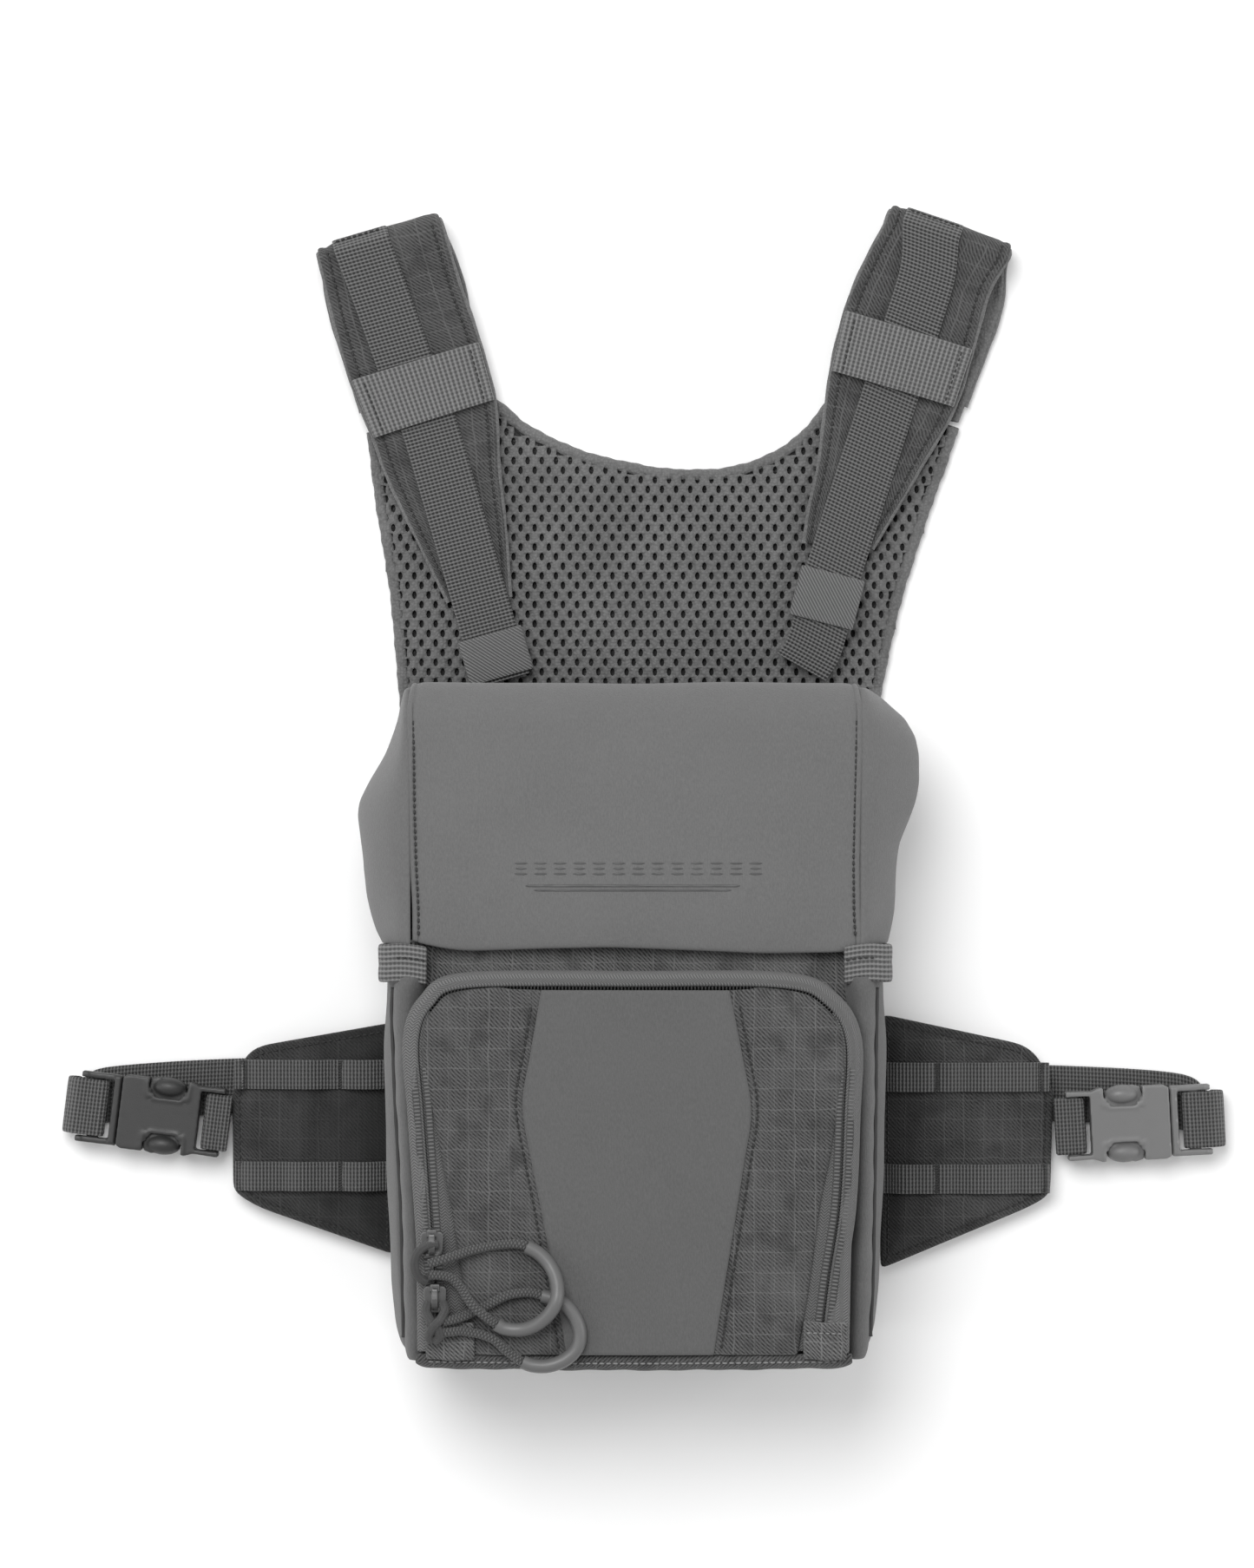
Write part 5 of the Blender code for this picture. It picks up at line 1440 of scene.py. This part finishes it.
# Nickel-plated magnets and their catch plates, sewn in out of sight.
nickel, nickel_shader = finish_of("nickel_plated_steel", "#9c9c9a", 0.3)
nickel_shader.inputs["Metallic"].default_value = 1.0
plate_noise = add(nickel, "TexNoise", {"Scale": 400.0, "Detail": 5.0})
plate_rough = add(nickel, "MapRange", {3: 0.22, 4: 0.42}, {0: plate_noise.outputs["Fac"]})
feed(nickel, {"Roughness": plate_rough})
for side in ("left", "right"):
    for node in (f"lid_magnet_{side}", f"catch_plate_{side}"):
        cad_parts[node].material_slots[0].material = nickel

# ------------------------------------------------------------------ zip sliders
# Die-cast zinc, painted: a top plate with rounded corners, flanges that turn down at
# its sides, and a bridge that the pull cord is hitched to.
zinc, zinc_shader = finish_of("painted_die_cast_zinc", "#444444", 0.42)
zinc_shader.inputs["Specular IOR Level"].default_value = 0.6
zinc_noise = add(zinc, "TexNoise", {"Scale": 600.0, "Detail": 4.0})
zinc_rough = add(zinc, "MapRange", {3: 0.32, 4: 0.55}, {0: zinc_noise.outputs["Fac"]})
zinc_bump = add(zinc, "Bump", {"Strength": 0.2, "Distance": 0.0001},
                {"Height": zinc_noise.outputs["Fac"]})
zinc_edge = add(zinc, "NewGeometry")
zinc_worn = add(zinc, "MapRange", {1: 0.52, 2: 0.6, 3: 0.0, 4: 0.7},
                {0: zinc_edge.outputs["Pointiness"]})
zinc_mix = add(zinc, "MixRGB", {1: tone("#444444"), 2: tone("#8f8f8f")}, {0: zinc_worn})
feed(zinc, {"Roughness": zinc_rough, "Normal": zinc_bump, "Base Color": zinc_mix})


def moulded(name, node, boxes, mat, body, place=None, voxel=0.42, rounds=5,
            lenses=()):
    """A cast or moulded piece: its CAD shape joined with more boxes and lens shapes,
    remeshed finely and smoothed, so that every edge is as round as a mould leaves it."""
    bm = bmesh.new()
    bm.from_mesh(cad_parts[node].data)
    for number, ((u0, u1), (v0, v1), (z0, z1)) in enumerate([*boxes, *lenses]):
        if number < len(boxes):
            made = bmesh.ops.create_cube(bm, size=1.0)
        else:
            made = bmesh.ops.create_icosphere(bm, subdivisions=3, radius=0.5)
        for v in made["verts"]:
            u = u0 + (v.co.x + 0.5) * (u1 - u0)
            w = v0 + (v.co.y + 0.5) * (v1 - v0)
            z = z0 + (v.co.z + 0.5) * (z1 - z0)
            v.co = (place @ Vector((u, w, z)) if place else Vector((u, w, z))) * MM
    mesh = bpy.data.meshes.new(name)
    bm.to_mesh(mesh)
    bm.free()
    mesh.materials.clear()
    mesh.materials.append(mat)
    obj = bpy.data.objects.new(name, mesh)
    bpy.context.collection.objects.link(obj)
    remesh = obj.modifiers.new("remesh", "REMESH")
    remesh.mode = "VOXEL"
    remesh.voxel_size = voxel * MM
    remesh.use_smooth_shade = True
    soften = obj.modifiers.new("soften", "SMOOTH")
    soften.iterations = rounds
    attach(obj, body)
    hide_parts(node)
    return obj


SLIDERS = {"upper": (-72.3, -76.5), "lower": (-71.2, -96.0)}
for level, (x, y) in SLIDERS.items():
    flanges = [((x - 3.9, x - 2.9), (y - 4.0, y + 3.8), (102.2, 104.2)),
               ((x + 2.9, x + 3.9), (y - 4.0, y + 3.8), (102.2, 104.2)),
               ((x - 1.6, x + 1.6), (y + 2.6, y + 5.2), (103.6, 106.2)),
               ((x - 2.4, x + 2.4), (y - 5.0, y - 3.4), (103.8, 105.8))]
    moulded(f"zip_slider_body_{level}", f"zip_slider_{level}", flanges, zinc,
            f"slider_{level}", voxel=0.26, rounds=6)
    moulded(f"zip_slider_arch_{level}", f"slider_bridge_{level}", [], zinc,
            f"slider_{level}", voxel=0.2, rounds=6)

# ------------------------------------------------------------------ padded wings
# Each wing is foam between two layers of ripstop, turned in and stitched round its
# edge. Two rows of 11 mm webbing are bartacked across it as attachment loops.
WING_PAINTED_SHADE = {"left": (98, 158), "right": (88, 122)}     # painted shade: from dark next to the pouch to the cloth's own tone, along X
row_webbing = webbing("nylon_webbing_rows", "#626262", "#262626", rib=1.3, check=0.4)
WINGS = {
    "left": [(-89, -0.7), (-145, -10.5), (-150.4, -26), (-150.2, -64.6), (-141, -70.5),
             (-89, -88.7)],
    "right": [(92, 2.4), (150, -10), (157.2, -26), (156.2, -65.8), (149, -70.2), (92, -94)],
}
ROWS = {
    "left": ((-15, -26), (-53, -64), -149.0, -90.0, -109.2),
    "right": ((-16, -27), (-54, -65), 155.2, 93.0, 113.0),
}


for side, sign in (("left", -1), ("right", 1)):
    body = f"wing_{side}"
    wing_cloth = ripstop(f"ripstop_wing_{side}", "#454545", "#5a5a5a", "Object", "#0e0e0e",
                         WING_PAINTED_SHADE[side])
    pad, seam = padded_panel(f"wing_pad_{side}", f"wing_{side}", WINGS[side],
                             [1.5, 8, 4, 2.5, 5, 1.5], 3.5, 11.0, wing_cloth, body,
                             pressure=4.0, step=4.2, limit=2.6)
    # Slack in the face cloth stands in folds across the wing, which die out at its seam.
    at = np.zeros(len(pad.data.vertices) * 3)
    pad.data.vertices.foreach_get("co", at)
    at = at.reshape(-1, 3) / MM
    off_seam = np.array([np.min(np.hypot(*(seam - p).T)) for p in at[:, :2]])
    folds = np.sin(at[:, 0] / 3.4 + 0.8 * np.sin(at[:, 1] / 9)) + 0.5 * np.sin(
        at[:, 0] / 1.9 - at[:, 1] / 13)
    at[:, 2] += 0.75 * folds * np.clip((off_seam - 2) / 7, 0, 1) * (at[:, 2] > 8.6)
    pad.data.vertices.foreach_set("co", (at * MM).ravel())
    top = drop_on(pad)
    route = [(x, y, top(x, y) + 0.15) for x, y in [*seam, seam[0]]]
    stitch_line(f"wing_stitch_{side}", route[::2], 2.6, thread, body)

    upper, lower, outer_x, inner_x, tack_x = ROWS[side]
    for label, (y_high, y_low) in (("upper", upper), ("lower", lower)):
        xs = np.linspace(outer_x, inner_x, 90)
        rows = []
        for x in xs:
            ground = max(top(x, y) for y in np.linspace(y_low, y_high, 5))
            far = min(1.0, abs(x - tack_x) / 3.0)
            inner = (tack_x - x) * sign > 0
            length = abs((inner_x if inner else outer_x) - tack_x)
            share = min(1, abs(x - tack_x) / length)
            bulge = (2.3 if inner else 0.7) * math.sin(math.pi * share) ** 0.7
            row = []
            for s in np.r_[0, 0.02, 0.08, np.linspace(0.2, 0.8, 6), 0.92, 0.98, 1]:
                crown = 0.25 * math.sin(math.pi * s)
                row.append((x, y_low + (y_high - y_low) * s,
                            ground + 0.75 + bulge + crown - 0.5 * (1 - far)))
            rows.append(row)
        rows = np.array(rows)
        fats = np.array([0.6, 1.3, 1.5, *[1.4] * 6, 1.5, 1.3, 0.6])
        if sign < 0:
            rows = rows[:, ::-1]
        piece = shell(f"row_webbing_{label}_{side}", rows, fats[None, :], [row_webbing], body)
        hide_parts(f"wing_web_{label}_{side}")
        points, faces = [], []
        for at_x, wide in ((tack_x, 0.9), (outer_x - sign * 2.5, 0.8)):
            ground = max(top(at_x, y) for y in np.linspace(y_low, y_high, 5)) + 1.5
            for y in np.arange(y_low + 0.5, y_high - 0.3, 0.52):
                jog = 0.25 * (-1) ** int(round(y / 0.52))
                thread_turn(points, faces, np.array([at_x - wide + jog, y, ground]),
                            np.array([at_x + wide + jog, y + 0.25, ground]), 0.34)
        piece = mesh_piece(f"bartacks_{label}_{side}", points, faces, [thread], body)

# ------------------------------------------------------------------ side-release buckles
# Injection-moulded acetal, 20 mm size. The plug's two sprung prongs show in the
# socket's side notches. Moulded edges are round, and the faces have a fine spark grain.


def acetal(name, hex_colour, worn_hex):
    mat, shader = finish_of(name, hex_colour, 0.45)
    shader.inputs["IOR"].default_value = 1.48
    at = add(mat, "TexCoord").outputs["Object"]
    grain = add(mat, "TexNoise", {"Scale": 2400.0, "Detail": 2.0}, {"Vector": at})
    scuff = add(mat, "TexNoise", {"Scale": 160.0, "Detail": 5.0, "Roughness": 0.7}, {"Vector": at})
    rough = add(mat, "MapRange", {1: 0.3, 2: 0.75, 3: 0.38, 4: 0.6}, {0: scuff.outputs["Fac"]})
    bump = add(mat, "Bump", {"Strength": 0.25, "Distance": 0.00012},
               {"Height": grain.outputs["Fac"]})
    edge = add(mat, "NewGeometry")
    share = add(mat, "MapRange", {1: 0.51, 2: 0.58, 3: 0.0, 4: 0.45},
                {0: edge.outputs["Pointiness"]})
    colour = add(mat, "MixRGB", {1: tone(hex_colour), 2: tone(worn_hex)}, {0: share})
    feed(mat, {"Roughness": rough, "Normal": bump, "Base Color": colour})
    return mat


belt_webbing = webbing("nylon_webbing_belt", "#666666", "#2a2a2a", rib=1.3, check=0.6)
BUCKLES = {"left": ((-192.0, -34.0), -7.0, 41.2), "right": ((200.3, -38.0), 183.0, 42.8)}
REAR_RUN = {"left": [(-196, -28.5), (-150, -25.5), (-92, -25)],
            "right": [(204, -31), (157, -28), (95, -27)]}
BUCKLE_Z, SOCKET_L, LOOP_R, REAR_RUN_Z = 9.4, 29.0, 2.6, 1.35
PLASTICS = {"left": acetal("moulded_acetal_dark", "#2f2f2f", "#585858"),
            "right": acetal("moulded_acetal", "#6b6b6b", "#919191")}
for side, sign in (("left", -1), ("right", 1)):
    body = f"wing_{side}"
    (mouth_x, mouth_y), heading, stub_end = BUCKLES[side]
    place = (Matrix.Translation((mouth_x, mouth_y, 0))
             @ Matrix.Rotation(math.radians(heading), 4, "Z"))
    plastic = PLASTICS[side]
    extras = [((34.6, 37.8), (-10.6, 10.6), (9.4, 11.4))]
    for s in (1, -1):           # a raised lip and filled corners make each notch a U
        for u, v in (((8.9, 10.0), (7.4, 12.4)), ((24.5, 25.6), (7.4, 12.4)),
                     ((11.6, 22.9), (5.7, 6.8)), ((9.4, 11.6), (6.4, 8.0)),
                     ((22.9, 25.1), (6.4, 8.0))):
            extras.append((u, sorted((s * v[0], s * v[1])), (13.0, 14.2)))
        for u, v in (((10, 24.5), (5.4, 6.8)), ((10, 12.4), (6.6, 8.2)), ((10, 11.2), (8.2, 9.8)),
                     ((22.1, 24.5), (6.6, 8.2)), ((23.3, 24.5), (8.2, 9.8))):
            extras.append((u, sorted((s * v[0], s * v[1])), (12.4, 13.8)))
    moulded(f"buckle_socket_moulding_{side}", f"buckle_socket_{side}", extras, plastic, body,
            place, 0.42, 9)
    moulded(f"buckle_plug_moulding_{side}", f"buckle_plug_{side}", [
        ((-15.3, -13.3), (-12.7, -11.4), (11.4, 12.5)),
        ((-15.3, -13.3), (11.4, 12.7), (11.4, 12.5)),
        ((-3.0, -1.0), (-12.4, 12.4), (11.4, 12.6)), ((-3.0, -1.0), (-12.4, 12.4), (6.2, 7.2)),
    ], plastic, body, place, 0.42, 7)
    for label, s in (("a", 1), ("b", -1)):
        pad = ((10.4, 24.2), sorted((s * 6.9, s * 14.6)), (4.9, 13.9))
        moulded(f"buckle_prong_moulding_{side}_{label}", f"buckle_prong_{side}_{label}", [],
                plastic, f"prong_{side}_{label}", place, 0.36, 10, [pad])

    def webbing_path(name, stations, node):
        """Webbing through (u, z) stations of the buckle or (x, y, z) ones of the harness."""
        edges = [[], []]
        for station in stations:
            for edge, v in zip(edges, (-WEB_W / 2, WEB_W / 2)):
                if len(station) == 2:
                    p = place @ Vector((station[0], v, station[1]))
                    edge.append(tuple(p))
                else:
                    edge.append((station[0], station[1] - sign * v, station[2]))
        lines = [through(edge, 0.4) for edge in edges]
        count = int(len(lines[0]) / 1.6)
        lines = [picked(line, count) for line in lines]
        made = strip(name, lines[0], lines[1], WEB_T, [belt_webbing], WEB_ACROSS, body)
        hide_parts(node)
        return made, length_of((lines[0] + lines[1]) / 2)

    bar_u = SOCKET_L + 9.5 - 2.3
    stub = [(stub_end, BUCKLE_Z + LOOP_R), (bar_u + 3, BUCKLE_Z + LOOP_R + 0.3),
            (bar_u + 0.6, BUCKLE_Z + LOOP_R)]
    stub += [(bar_u - 1.6 - LOOP_R * math.sin(a), BUCKLE_Z + LOOP_R * math.cos(a))
             for a in (math.radians(d) for d in range(0, 181, 30))]
    stub += [(bar_u + 0.6, BUCKLE_Z - LOOP_R), (stub_end, BUCKLE_Z - LOOP_R + 0.3)]
    piece, piece_length = webbing_path(f"stub_webbing_{side}", stub, f"stub_web_{side}")

    turn_r = (BUCKLE_Z + LOOP_R - REAR_RUN_Z) / 2
    turn_u, turn_z = -14.9, REAR_RUN_Z + turn_r
    tail = [(-11.5, BUCKLE_Z - LOOP_R)]
    tail += [(-8.2 + LOOP_R * math.sin(a), BUCKLE_Z + LOOP_R * math.cos(a))
             for a in (math.radians(d) for d in range(180, -1, -30))]
    tail += [(turn_u - turn_r * math.sin(a), turn_z + turn_r * math.cos(a))
             for a in (math.radians(d) for d in range(0, 181, 20))]
    tail += [(x, y, REAR_RUN_Z) for x, y in REAR_RUN[side]]
    piece, piece_length = webbing_path(f"side_strap_webbing_{side}", tail, f"side_strap_{side}")
